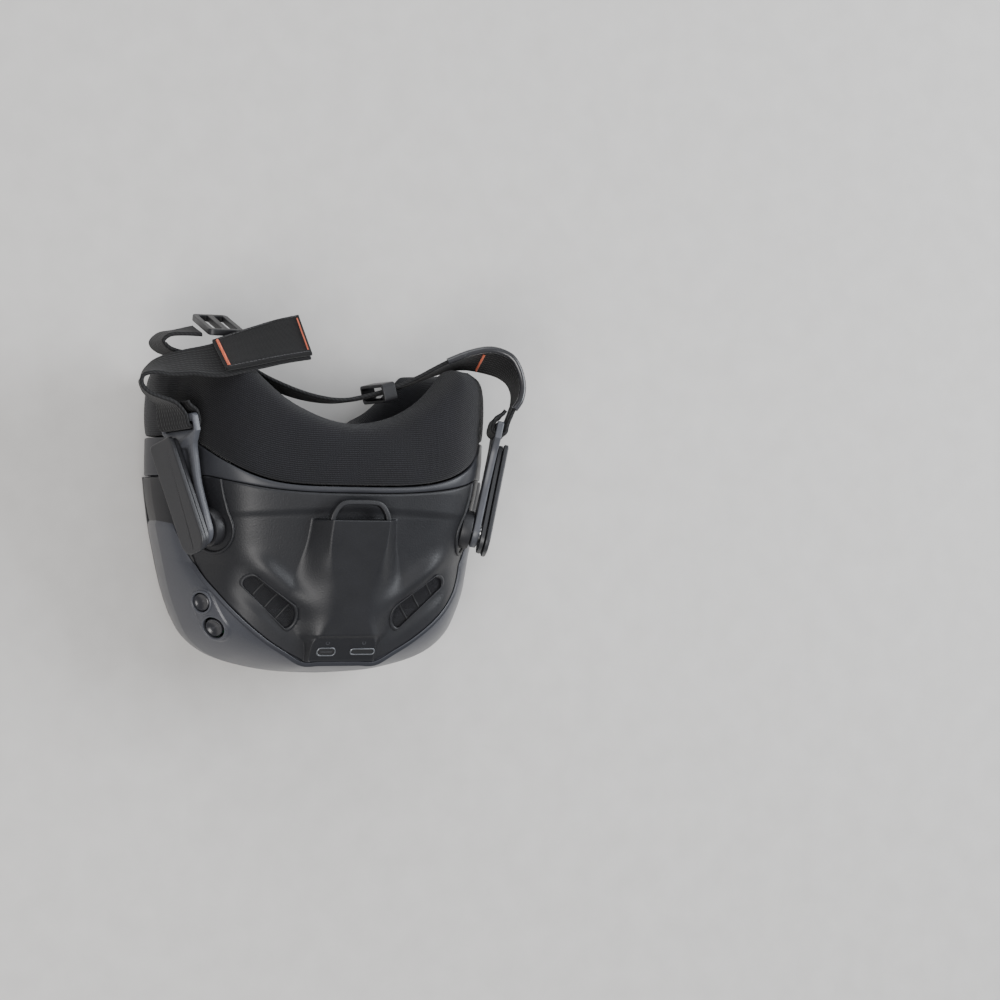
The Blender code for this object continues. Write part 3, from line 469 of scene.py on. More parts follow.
def loft(name, rings, mat, body, replaces=(), closed=False, cap=True):
    """Loft through rings of equal length, with UVs in millimetres: U along the rings' run, V round each ring."""
    size = len(rings[0])
    seam = size + 1
    points, uvs, faces = [], [], []
    runs = list(rings) + ([rings[0]] if closed else [])
    along = 0.0
    for r, ring in enumerate(runs):
        if r:
            along += sum((a - b).length for a, b in zip(ring, runs[r - 1])) / size
        round_it = 0.0
        for c in range(seam):
            p = ring[c % size]
            if c:
                round_it += (p - ring[(c - 1) % size]).length
            points.append(p)
            uvs.append((along, round_it))
    for r in range(len(runs) - 1):
        for c in range(size):
            a = r * seam + c
            faces.append((a, a + 1, a + seam + 1, a + seam))
    if cap and not closed:
        faces.append(tuple(reversed(range(size))))
        faces.append(tuple((len(runs) - 1) * seam + c for c in range(size)))
    obj = make(name, points, faces, mat, body, uvs, replaces)
    work = bmesh.new()
    work.from_mesh(obj.data)
    bmesh.ops.remove_doubles(work, verts=work.verts, dist=0.000002)
    bmesh.ops.recalc_face_normals(work, faces=work.faces)
    work.to_mesh(obj.data)
    work.free()
    if not closed:
        obj.data.set_sharp_from_angle(angle=math.radians(38))
    return obj


def soften(obj, width, segments=3, degrees=35):
    mod = obj.modifiers.new("round", "BEVEL")
    mod.width = width * MM
    mod.segments = segments
    mod.limit_method = "ANGLE"
    mod.angle_limit = math.radians(degrees)
    mod.harden_normals = True


def apply_all(obj):
    graph = bpy.context.evaluated_depsgraph_get()
    fresh = bpy.data.meshes.new_from_object(obj.evaluated_get(graph))
    obj.modifiers.clear()
    obj.data = fresh


def cut(obj, cutters, operation="DIFFERENCE"):
    for cutter in cutters:
        mod = obj.modifiers.new("cut", "BOOLEAN")
        mod.operation = operation
        mod.solver = "EXACT"
        mod.object = cutter
    bpy.context.view_layer.update()
    apply_all(obj)
    for cutter in cutters:
        bpy.data.objects.remove(cutter)


def prism_rings(outline, at, u, v, w, low, high):
    at, u, v, w = Vector(at), Vector(u), Vector(v), Vector(w)
    return [[at + u * a + v * b + w * h for a, b in outline] for h in (low, high)]


def cutter_from(rings):
    size = len(rings[0])
    points = [p for ring in rings for p in ring]
    faces = [tuple(range(size)), tuple(size + c for c in range(size))]
    for c in range(size):
        d = (c + 1) % size
        faces.append((c, d, size + d, size + c))
    obj = make("cutter", points, faces, BLACK, None)
    fix_normals(obj)
    return obj


def slab(name, outline, at, u, v, w, low, high, mat, body, replaces=(), width=0.6, segments=3):
    """Plate with rounded edges from a closed outline."""
    rings = prism_rings(outline, at, u, v, w, low, high)
    size = len(outline)
    points = [p for ring in rings for p in ring]
    faces = [tuple(range(size)), tuple(size + c for c in range(size))]
    for c in range(size):
        d = (c + 1) % size
        faces.append((c, d, size + d, size + c))
    obj = make(name, points, faces, mat, body, None, replaces)
    fix_normals(obj)
    if width:
        soften(obj, width, segments)
    return obj


def rounded(points, radius, steps=5):
    """Closed outline with its corners as arcs."""
    out = []
    count = len(points)
    for i, p in enumerate(points):
        p = Vector(p)
        a = Vector(points[i - 1]) - p
        b = Vector(points[(i + 1) % count]) - p
        reach = min(radius, a.length * 0.48, b.length * 0.48)
        start, end = p + a.normalized() * reach, p + b.normalized() * reach
        for k in range(steps + 1):
            s = k / steps
            out.append((start * (1 - s) ** 2 + p * 2 * s * (1 - s) + end * s * s)[:])
    return out


def stadium(half_length, half_width, steps=10):
    run = half_length - half_width
    points = []
    for sign in (1, -1):
        for i in range(steps + 1):
            turn = math.radians(-90 + 180 * i / steps)
            points.append((sign * (run + half_width * math.cos(turn)), sign * half_width * math.sin(turn)))
    return points


def axes_for(axis):
    axis = Vector(axis).normalized()
    side = axis.cross(Vector((0, 0, 1)))
    if side.length < 0.1:
        side = axis.cross(Vector((0, 1, 0)))
    side.normalize()
    return side, axis.cross(side), axis


def lathe(name, profile, at, axis, mat, body, replaces=(), steps=48):
    side, up, axis = axes_for(axis)
    rings = []
    for radius, height in profile:
        ring = []
        for i in range(steps):
            turn = 2 * math.pi * i / steps
            ring.append(Vector(at) + (side * math.cos(turn) + up * math.sin(turn)) * max(radius, 0.01) + axis * height)
        rings.append(ring)
    return loft(name, rings, mat, body, replaces)


def rod(name, path, radius, mat, body, replaces=(), closed=False, sides=10, squash=1.0):
    """Round bar along a path."""
    path = [Vector(p) for p in path]
    rings = []
    count = len(path)
    hint = Vector((0, 0, 1))
    for i, p in enumerate(path):
        before = path[i - 1] if closed or i else path[0]
        after = path[(i + 1) % count] if closed or i < count - 1 else path[-1]
        run = (after - before).normalized()
        side = run.cross(hint)
        if side.length < 0.2:
            side = run.cross(Vector((1, 0, 0)))
        side.normalize()
        up = side.cross(run)
        rings.append([p + side * math.cos(2 * math.pi * k / sides) * radius
                      + up * math.sin(2 * math.pi * k / sides) * radius * squash for k in range(sides)])
    return loft(name, rings, mat, body, replaces, closed)


# ---------------------------------------------------------------- shells
def inside(x, y, outline):
    hit = False
    for (ax, ay), (bx, by) in zip(outline, outline[1:] + outline[:1]):
        if (ay > y) != (by > y) and x < ax + (bx - ax) * (y - ay) / (by - ay):
            hit = not hit
    return hit


def vent_outline(side, shrink=0.0):
    shape = rounded([(side * x, y, 0) for x, y in VENT], 3.0, 5)
    centre = Vector((sum(p[0] for p in shape), sum(p[1] for p in shape), 0)) / len(shape)
    out = []
    for p in shape:
        d = Vector(p) - centre
        d = centre + d * (1 - shrink / d.length)
        out.append((d.x, d.y))
    return out


HALF_WIDTHS = tuple((y, x) for x, y in BORDER_PATH[2:])


def panel_half(y):
    return spline(HALF_WIDTHS, y)


def panel_rows():
    """Rows of the top panel's surface; columns line up with the platform's edges."""
    stops = [-50.45 + 0.55 * i for i in range(127)] + [19.3, 19.6, 19.9, 20.1, 20.3, 20.5, 20.9]
    stops += [21.4 + 0.55 * i for i in range(21)]
    rows = []
    for y0 in stops:
        if y0 > 32.5:
            break
        flat, foot = platform_edges(y0)
        side = panel_half(y0)
        flat, foot = min(flat, side * 0.86), min(foot, side * 0.95)
        xs = [flat * i / 26 for i in range(26)] + [flat + (foot - flat) * i / 10 for i in range(10)]
        xs += [foot + (side - foot) * i / 90 for i in range(91)]
        row = []
        for x in [-v for v in reversed(xs[1:])] + xs:
            share = smooth(-10, 32.5, y0)
            y = y0 + (panel_end(x) - 32.5) * share
            row.append((x, y, y0))
        rows.append(row)
    rows.append([(x, panel_end(x), 32.5) for x, _, _ in rows[-1]])
    return rows


def build_panel():
    rows = []
    for line in panel_rows():
        row = []
        for x, y, y0 in line:
            z = panel_z(x, y)
            edge = (panel_half(y0) - abs(x)) / 1.1
            if edge < 1:
                z -= 0.7 * (1 - max(edge, 0)) ** 2
            if y > panel_end(x) - 1.0:
                z -= 0.7 * (1 - (panel_end(x) - y)) ** 2
            row.append(Vector((x, y, z)))
        rows.append(row)
    obj = grid("top_panel_skin", rows, MATTE, "headset", ("top_panel",))
    vents = [vent_outline(side, -0.2) for side in (-1, 1)]
    work = bmesh.new()
    work.from_mesh(obj.data)
    gone = []
    for face in work.faces:
        c = face.calc_center_median() / MM
        if 22 < abs(c.x) < 56 and -38 < c.y < -4 and inside(c.x, c.y, vents[0 if c.x < 0 else 1]):
            gone.append(face)
    bmesh.ops.delete(work, geom=gone, context="FACES")
    work.to_mesh(obj.data)
    work.free()
    thick = obj.modifiers.new("wall", "SOLIDIFY")
    thick.thickness = 2.0 * MM
    thick.offset = -1
    return obj


def build_vents():
    for side, word in ((-1, "right"), (1, "left")):
        outline = vent_outline(side)
        centre = Vector((sum(p[0] for p in outline), sum(p[1] for p in outline), 0)) / len(outline)
        section = ((-1.5, -0.9), (-1.2, 0.25), (-0.5, 0.75), (0.3, 0.7), (0.8, 0.2), (0.95, -1.2), (0.95, -4.2))
        rings = []
        for grow, rise in section:
            ring = []
            for x, y in outline:
                d = Vector((x, y, 0)) - centre
                p = centre + d * (1 - grow / d.length)
                ring.append(Vector((p.x, p.y, panel_z(p.x, p.y) + rise)))
            rings.append(ring)
        flipped = [[ring[i] for ring in rings] for i in range(len(outline))]
        loft("vent_lip_" + word, flipped, MATTE, "headset", closed=True)
        build_grille(side, word, outline)


def build_grille(side, word, outline):
    """Three ribs across each vent with a fine mesh behind them."""
    u = Vector((side * -0.79, -0.61, 0))
    v = Vector((-u.y, u.x, 0))
    mid = Vector((side * 38.4, -20.6, 0))

    def at(run, across, drop):
        p = mid + u * run + v * across
        return Vector((p.x, p.y, panel_z(p.x, p.y) + drop))
    ribs = []
    for i, run in enumerate((-8.6, 0.2, 8.4)):
        rings = []
        for k in range(15):
            across = -8.2 + 16.4 * k / 14
            p = at(run, across, -0.5)
            if not inside(p.x, p.y, vent_outline(side, -0.6)):
                continue
            rings.append([at(run + a, across, d) for a, d in
                          ((-0.42, -3.2), (-0.42, -0.75), (-0.2, -0.6), (0.2, -0.6), (0.42, -0.75), (0.42, -3.2))])
        if len(rings) > 2:
            # the ribs take the darker black: painted shade inside the vent
            ribs.append(loft(f"vent_rib_{word}_{i}", rings, RECESS_SHADE_BLACK, "headset"))
    wires = []
    for k in range(-36, 37):
        for across_way in (False, True):
            line = []
            for j in range(-36, 37):
                run, across = (k * 0.5, j * 0.5) if across_way else (j * 0.5, k * 0.5)
                p = at(run, across, -1.15 + (0.1 if (j + k) % 2 else -0.1))
                if inside(p.x, p.y, vent_outline(side, 0.3)):
                    line.append(p)
            if len(line) > 3:
                wires.append(line)
    points, faces = [], []
    for line in wires:
        for p in line:
            i = len(points)
            points += [p + Vector((-0.17, -0.17, 0)), p + Vector((0.17, 0.17, 0)), p + Vector((0, 0, 0.2))]
            if p is not line[0]:
                for a, b in ((0, 1), (1, 2), (2, 0)):
                    faces.append((i - 3 + a, i - 3 + b, i + b, i + a))
    make("vent_mesh_" + word, points, faces, GRILLE, "headset", None, ("vent_grille_" + word,))


def border_point(i):
    """The edge shared by the two shells, for a real-valued index into its points."""
    x = spline(tuple((k, p[0]) for k, p in enumerate(BORDER_PATH)), abs(i))
    y = spline(tuple((k, p[1]) for k, p in enumerate(BORDER_PATH)), abs(i))
    return math.copysign(x, i) if i else 0.0, y


def front_surface(i, t):
    bx, by = border_point(i)
    wx = spline(tuple((k, p[0]) for k, p in enumerate(WIDE_PATH)), abs(i))
    wy = spline(tuple((k, p[1]) for k, p in enumerate(WIDE_PATH)), abs(i))
    wx = math.copysign(wx, i) if i else 0.0
    bz = top_z(bx, by)
    if t <= 0.6:
        s = t / 0.6
        share = 0.45 * s + 0.55 * math.sin(s * math.pi / 2)
        drop = 0.45 * s + 0.55 * (1 - math.cos(s * math.pi / 2))
        return Vector((bx + (wx - bx) * share, by + (wy - by) * share, bz + (WIDE_Z - bz) * drop))
    low = (t - 0.6) / 0.4
    inset = 1 - 0.035 * low * low
    return Vector((wx * inset, wy * inset if wy < 0 else wy, WIDE_Z + (SEAM_Z - WIDE_Z) * low))


def pad_height(p):
    """Raised teardrop pad round the two buttons."""
    a, b = BUTTONS["back_button"][0], BUTTONS["five_way"][0]
    run = b - a
    s = max(0.0, min(1.0, (p - a).dot(run) / run.length_squared))
    reach = (p - (a + run * s)).length - (7.0 + 1.2 * s)
    return 0.55 * (1 - smooth(-0.35, 0.35, reach)) + 0.25 * math.exp(-((reach + 0.2) / 0.5) ** 2)


def build_front():
    rows = []
    last = 11.55
    for r in range(101):
        t = (r / 100) ** 1.15
        row = []
        end = last - 1.5 * (1 - smooth(0, 0.22, t)) ** 2
        for c in range(-150, 151):
            i = c / 150 * end
            p = front_surface(i, t)
            q, s = front_surface(i + 0.02, t), front_surface(i, min(t + 0.01, 1))
            normal = (q - p).cross(s - p if (s - p).length > 1e-6 else Vector((0, 0, -1)))
            normal.normalize()
            away = Vector((p.x, p.y - 10, 0))
            if normal.dot(away) < 0:
                normal = -normal
            lift = 0.0
            if p.x < -40 and p.z > 45:
                lift += pad_height(p)
            if r == 0:
                p = p + Vector((p.x, min(p.y, 0) * 1.5, 0)).normalized() * 0.25 + Vector((0, 0, -0.9))
            elif r < 4:
                lift += 0.25 * math.sin(r / 4 * math.pi)
            if abs(c) > 147:
                lift -= 0.35 * (abs(c) - 147) ** 1.3
            row.append(p + normal * lift)
        rows.append(row)
    obj = grid("front_shell_skin", rows, SATIN, "headset", ("front_shell",), flip=True)
    work = bmesh.new()
    work.from_mesh(obj.data)
    gone = []
    for face in work.faces:
        c = face.calc_center_median() / MM
        for name, radius in (("back_button", 5.2), ("five_way", 6.3)):
            at, out = BUTTONS[name]
            d = c - at
            if d.length < 12 and (d - out * d.dot(out)).length < radius:
                gone.append(face)
                break
    bmesh.ops.delete(work, geom=gone, context="FACES")
    work.to_mesh(obj.data)
    work.free()
    thick = obj.modifiers.new("wall", "SOLIDIFY")
    thick.thickness = 2.0 * MM
    thick.offset = -1
    for name, hole in (("back_button", 4.9), ("five_way", 5.8)):
        at, out = BUTTONS[name]
        collar = ((hole - 0.05, -3.0), (hole - 0.05, 0.55), (hole + 0.15, 0.85), (hole + 0.55, 0.95),
                  (hole + 1.0, 0.75), (hole + 1.3, -0.4), (hole + 1.2, -3.0))
        side, up, axis = axes_for(out)
        rings = []
        for k in range(56):
            turn = 2 * math.pi * k / 56
            spoke = side * math.cos(turn) + up * math.sin(turn)
            rings.append([at + spoke * radius + axis * height for radius, height in collar])
        loft(name + "_collar", rings, SATIN, "headset", closed=True)


def build_cheeks():
    """Black flank between the front shell's end and the face frame, on each side."""
    for side, word in ((-1, "right"), (1, "left")):
        rows = []
        for r in range(61):
            t = r / 60
            row = []
            for c in range(33):
                i = side * (9.6 + 3.4 * c / 32)
                p = front_surface(i, t)
                inset = 0.9 - 0.75 * smooth(11.3, 12.6, abs(i))
                p.x -= side * inset
                p.z -= 0.5 * inset * (1 - smooth(0, 0.3, t))
                if c == 32:
                    p.x -= side * 0.6
                row.append(p)
            rows.append(row)
        cheek = grid("cheek_" + word, rows, BLACK, "headset", (), flip=side < 0)
        fix_normals(cheek)
        thick = cheek.modifiers.new("wall", "SOLIDIFY")
        thick.thickness = 1.6 * MM
        thick.offset = -1


def ring_half(steps=6):
    """Keys along the face opening's half ring: steps of them to each span between its outline points, shared by the
    outline and the inner edge.
    """
    out = []
    outer = [(ox, oz) for ox, oz in OUTER]
    count = len(outer)
    for k in range(count - 1):
        for j in range(steps):
            out.append(k + j / steps)
    out.append(count - 1)
    return out


RING_KEYS = ring_half()
OUTER_X = tuple((k, p[0]) for k, p in enumerate(OUTER))
OUTER_Z = tuple((k, p[1] if p[1] is not None else 53.0) for k, p in enumerate(OUTER))
INNER_X = tuple((k, p[0]) for k, p in enumerate(INNER))
INNER_Z = tuple((k, p[1]) for k, p in enumerate(INNER))


def face_ring(y_of, depth):
    half = []
    for key in RING_KEYS:
        ox, ix, iz = spline(OUTER_X, key), spline(INNER_X, key), spline(INNER_Z, key)
        y = y_of(ox)
        if key <= 10:
            z = top_z(ox, y)
        else:
            low = spline(OUTER_Z, key) if key >= 12 else None
            drop = top_z(84, y_of(84)) if key < 12 else 0
            z = low if low is not None else lerp(((10, drop), (11, OUTER[11][1]), (12, OUTER[12][1])), key)
        reach = Vector((ix - ox, 0, iz - z))
        step = reach.normalized() * min(depth, reach.length) if depth < 900 else reach * (depth - 900)
        point = Vector((ox, 0, z)) + step
        point.y = y
        half.append(point)
    return half + [Vector((-p.x, p.y, p.z)) for p in reversed(half[1:-1])]


def face_sweep(name, section, mat, replaces):
    """Ring swept round the face opening; the section is a closed list of (y function, depth)."""
    rings = [face_ring(y_of, depth) for y_of, depth in section]
    rings.append(rings[0])
    size = len(rings[0])
    points, uvs, faces = [], [], []
    down = [0.0] * (size + 1)
    for r, ring in enumerate(rings):
        along = 0.0
        for c in range(size + 1):
            p = ring[c % size]
            if c:
                along += (rings[0][c % size] - rings[0][c - 1]).length
            if r:
                down[c] += (p - rings[r - 1][c % size]).length
            points.append(p)
            uvs.append((along, down[c]))
    for r in range(len(rings) - 1):
        for c in range(size):
            a = r * (size + 1) + c
            faces.append((a, a + 1, a + size + 2, a + size + 1))
    obj = make(name, points, faces, mat, "headset", uvs, replaces)
    work = bmesh.new()
    work.from_mesh(obj.data)
    bmesh.ops.remove_doubles(work, verts=work.verts, dist=0.000002)
    bmesh.ops.recalc_face_normals(work, faces=work.faces)
    work.to_mesh(obj.data)
    work.free()
    return obj


def build_face():
    seam, end = foam_seam, panel_end
    face_sweep("face_frame_skin", [
        (lambda x: end(x) + 0.3, 1.2), (lambda x: end(x) + 0.35, 0.5), (lambda x: end(x) + 0.6, 0.12),
        (lambda x: end(x) + 1.2, 0), (lambda x: (end(x) + seam(x)) / 2, -0.12), (lambda x: seam(x) - 1.3, 0),
        (lambda x: seam(x) - 0.6, 0.15), (lambda x: seam(x) - 0.3, 0.7), (lambda x: seam(x) - 0.3, 3.2),
        (lambda x: seam(x) - 3.8, 3.25), (lambda x: seam(x) - 3.8, 9), (lambda x: end(x) - 5, 9),
        (lambda x: end(x) - 5, 3.4), (lambda x: end(x) + 0.3, 3.35)], FRAME, ("face_frame",))

    def rear(drop, pull=1.0):
        return lambda x: foam_seam(x) + (foam_face(x, 60) - foam_seam(x)) * pull - drop
    keys = [(lambda x: foam_seam(x) + 0.5, 1.6), (lambda x: foam_seam(x) + 0.7, 0.5), (rear(0, 0.08), 0.1),
            (rear(0, 0.2), -0.15), (rear(0, 0.4), -0.2), (rear(0, 0.62), -0.1), (rear(8.5), 0.5), (rear(5.2), 1.6),
            (rear(2.6), 3.4), (rear(0.9), 6.5), (rear(0.1), 900.42), (rear(0.0), 900.55), (rear(0.9), 900.7),
            (rear(2.6), 900.83), (rear(5.2), 900.93), (rear(9.0), 900.99), (rear(0, 0.55), 901.0),
            (rear(0, 0.3), 901.0), (rear(0, 0.12), 900.98), (lambda x: foam_seam(x) + 0.6, 900.93)]
    foam = face_sweep("foam_ring", keys, KNIT, ("foam_padding",))
    work = bmesh.new()
    work.from_mesh(foam.data)
    for vert in work.verts:
        p = vert.co / MM
        wave = noise.noise(Vector((p.x * 0.045, p.y * 0.05, p.z * 0.045)))
        fold = noise.noise(Vector((p.x * 0.13 + 7, p.y * 0.13, p.z * 0.13)))
        near = smooth(0, 12, p.y - foam_seam(p.x))
        vert.co += vert.normal * (0.75 * wave + 0.22 * fold) * near * MM
    work.to_mesh(foam.data)
    work.free()
    round_off = foam.modifiers.new("round", "SUBSURF")
    round_off.levels = round_off.render_levels = 1
    return foam


# ---------------------------------------------------------------- straps
def band_rings(path, wide, thick):
    """Rings of a webbing band; path holds (centre, width direction) pairs and is smoothed."""
    centres = curve_points([c for c, _ in path], 8)
    across = curve_points([w for _, w in path], 8)
    rings = []
    for i, c in enumerate(centres):
        run = (centres[min(i + 1, len(centres) - 1)] - centres[max(i - 1, 0)]).normalized()
        w = (across[i] - run * across[i].dot(run)).normalized()
        face = run.cross(w)
        ring = []
        for a, b in BAND_SECTION:
            ring.append(c + w * a * wide / 2 + face * b * thick / 2)
        rings.append(ring)
    return rings


def band_section():
    """Flat oval with a rolled selvedge along each edge."""
    top = [(-0.98, 0.75), (-0.94, 1.0), (-0.88, 0.92), (-0.84, 0.8)]
    top += [(-0.8 + 0.16 * k, 0.84 + 0.05 * math.sin(k * 2.2)) for k in range(11)]
    top += [(0.84, 0.8), (0.88, 0.92), (0.94, 1.0), (0.98, 0.75)]
    bottom = [(a, -b) for a, b in reversed(top)]
    return top + [(1.0, 0.25), (1.0, -0.25)] + bottom + [(-1.0, -0.25), (-1.0, 0.25)]


BAND_SECTION = band_section()


def band(name, path, mat, body, wide=STRAP_W, thick=2.0, replaces=()):
    rings = band_rings(path, wide, thick)
    size = len(BAND_SECTION)
    points, uvs, faces = [], [], []
    along = 0.0
    for r, ring in enumerate(rings):
        if r:
            along += (ring[0] - rings[r - 1][0]).length
        width = 0.0
        for c in range(size + 1):
            p = ring[c % size]
            if c:
                width += (p - ring[(c - 1) % size]).length
            points.append(p)
            uvs.append((along, width))
    for r in range(len(rings) - 1):
        for c in range(size):
            a = r * (size + 1) + c
            faces.append((a, a + 1, a + size + 2, a + size + 1))
    last = (len(rings) - 1) * (size + 1)
    faces.append(tuple(reversed(range(size))))
    faces.append(tuple(last + c for c in range(size)))
    obj = make(name, points, faces, mat, body, uvs, replaces)
    work = bmesh.new()
    work.from_mesh(obj.data)
    bmesh.ops.remove_doubles(work, verts=work.verts, dist=0.000002)
    bmesh.ops.recalc_face_normals(work, faces=work.faces)
    work.to_mesh(obj.data)
    work.free()
    return obj


def stitch_row(name, start, end, count, lift, length, radius, mat, body, zig=None):
    """Row of raised stitches between two points; zig turns them into a dense bar tack."""
    start, end, lift = Vector(start), Vector(end), Vector(lift).normalized()
    run = (end - start).normalized()
    points, faces = [], []
    sides = 6
    for i in range(count):
        c = start.lerp(end, (i + 0.5) / count)
        way = run if zig is None else (Vector(zig).normalized() + run * (0.18 if i % 2 else -0.18)).normalized()
        side = way.cross(lift).normalized()
        base = len(points)
        steps = 5
        for k in range(steps + 1):
            s = k / steps
            bow = math.sin(s * math.pi)
            p = c + way * (s - 0.5) * length + lift * radius * (bow * 0.9 - 0.3)
            size = radius * (0.55 + 0.45 * bow)
            for j in range(sides):
                turn = 2 * math.pi * j / sides
                points.append(p + (side * math.cos(turn) + lift * math.sin(turn)) * size)
        for k in range(steps):
            for j in range(sides):
                a, b = base + k * sides + j, base + k * sides + (j + 1) % sides
                faces.append((a, b, b + sides, a + sides))
        faces.append(tuple(reversed([base + j for j in range(sides)])))
        faces.append(tuple(base + steps * sides + j for j in range(sides)))
    obj = make(name, points, faces, mat, body)
    fix_normals(obj)
    return obj


def band_at(path, place, across=0.0, lift=0.0):
    """Point and axes on a smoothed band: place counts stations, across and lift are millimetres."""
    centres = curve_points([c for c, _ in path], 8)
    widths = curve_points([w for _, w in path], 8)
    i = min(int(place * 8), len(centres) - 2)
    s = place * 8 - i
    run = (centres[min(i + 2, len(centres) - 1)] - centres[max(i - 1, 0)]).normalized()
    c = centres[i].lerp(centres[i + 1], s)
    w = widths[i].lerp(widths[i + 1], s)
    w = (w - run * w.dot(run)).normalized()
    face = run.cross(w)
    return c + w * across + face * lift, run, w, face


def path_length(path):
    points = curve_points([c for c, _ in path], 8)
    return sum((b - a).length for a, b in zip(points, points[1:])) * MM


def strap_through(side):
    """Webbing through the arm's slot: short inner layer, round the bar, then back along the outside."""
    at, back, out, up = pivot_frame(side)
    turns = ((62, -3.9), (59.8, -5.0), (57.2, -7.7), (54.5, -8.3), (51.6, -8.3), (50.1, -7.2), (49.6, -4.9),
             (50.1, -2.5), (51.6, -1.5), (56, -1.3))
    return [(at + back * a + out * n, -up) for a, n in turns]


def tab_path(raise_by):
    path = []
    for centre, across in FOLD_BAND[-4:]:
        w = Vector(across).normalized()
        lift = w.cross(Vector((1, 0, 0))).normalized()
        path.append((Vector(centre) + (lift if lift.z > 0 else -lift) * raise_by, Vector(across)))
    return path


def build_straps():
    fold = strap_through(-1) + [(Vector(c), Vector(w)) for c, w in FOLD_BAND]
    fold_band = band("fold_band_web", fold, WEB, None, replaces=("strap_fold_band", "strap_end_right"))
    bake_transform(fold_band)
    path_length(fold)
    rear = strap_through(1) + [(Vector(c), Vector(w)) for c, w in REAR_BAND]
    rear_band = band("rear_band_web", rear, WEB, None, replaces=("strap_rear_band", "strap_end_left"))
    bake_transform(rear_band)
    path_length(rear)
    build_tab()
    build_tacks()
    build_cable()


def build_tab():
    tab = tab_path(2.9)
    band("tab_pad", tab, FELT, "headset", 24, 2.2, ("strap_tab",))
    for k, across in enumerate((-10.6, 10.6)):
        a, _, _, face = band_at(tab, 0.15, across)
        middle, _, _, _ = band_at(tab, 1.5, across)
        b, _, _, _ = band_at(tab, 2.85, across)
        face = face if face.z > 0 else -face
        for part, (start, end) in enumerate(((a, middle), (middle, b))):
            stitch_row(f"tab_stitch_{k}_{part}", start + face * 1.2, end + face * 1.2, 11, face, 1.7, 0.22,
                       DARK_THREAD, "headset")


def tack(name, middle, along, across, face, wide, run, count, replaces=()):
    """Bar tack: a dense zigzag of thread across the band."""
    start, end = middle - across * wide / 2, middle + across * wide / 2
    obj = stitch_row(name, start, end, count, face, run, 0.42, ORANGE, "headset", zig=along)
    if replaces:
        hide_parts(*replaces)


def build_tacks():
    tab = tab_path(2.9)
    for name, place, width, run_length, node in (("tack_tab", 2.82, 19, 0.6, "bartack_fold"),
                                                 ("tack_fold", 0.18, 20, 1.4, "bartack_tab")):
        c, run, w, face = band_at(tab, place)
        face = face if face.z > 0 else -face
        tack(name, c + face * 1.35, run, w, face, width, run_length, 30, (node,))
    stations = [(Vector(c), Vector(w)) for c, w in REAR_BAND]
    c, run, w, face = band_at(stations, 5.0)
    face = face if face.y < 0 else -face
    tack("tack_rear", c + face * 1.15, run, w, face, 20, 1.2, 28, ("bartack_rear",))


def cable_path():
    path = []
    for centre, across in REAR_BAND[:8]:
        w = Vector(across).normalized()
        path.append((Vector(centre) - w * (STRAP_W / 2 + 2.2), Vector((0, 0, 1))))
    return path


def build_cable():
    path = cable_path()
    points = curve_points([c for c, _ in path], 10)
    tube = rod("lead_tube", points, 1.7, RUBBER, None, ("power_cable",), sides=20)
    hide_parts("power_cable")
    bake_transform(tube)


def build_ring():
    at = Vector((-60, 114.5, 58.5))
    u, v, w = Vector((1, 0, 0)), Vector((0, 0.3, -0.954)), Vector((0, 0.954, 0.3))
    outline = rounded([(-9, -16, 0), (9, -16, 0), (9, 16, 0), (-9, 16, 0)], 3)
    ring = slab("ring_frame", [(p[0], p[1]) for p in outline], at, u, v, w, -1.6, 1.6, BLACK, "headset",
                ("strap_ring",), 0)
    slots = []
    for a, b in ((-6.2, -1.6), (1.6, 6.2)):
        hole = rounded([(a, -13.2, 0), (b, -13.2, 0), (b, 13.2, 0), (a, 13.2, 0)], 1.2, 4)
        slots.append(cutter_from(prism_rings([(p[0], p[1]) for p in hole], at, u, v, w, -5, 5)))
    cut(ring, slots)
    soften(ring, 0.5)
    c = Vector((24, 83.5, 61.2))
    run, face = Vector((0.970, 0.243, 0)), Vector((-0.243, 0.970, 0))
    outer = rounded([(-4.8, -16, 0), (4.8, -16, 0), (4.8, 16, 0), (-4.8, 16, 0)], 2.4)
    keeper = slab("keeper_loop", [(p[0], p[1]) for p in outer], c, face, (0, 0, 1), run, -3.5, 3.5, BLACK, "headset",
                  ("band_keeper",), 0)
    hole = rounded([(-3, -13.8, 0), (3, -13.8, 0), (3, 13.8, 0), (-3, 13.8, 0)], 1.0, 4)
    cut(keeper, [cutter_from(prism_rings([(p[0], p[1]) for p in hole], c, face, (0, 0, 1), run, -9, 9))])
    soften(keeper, 0.5)


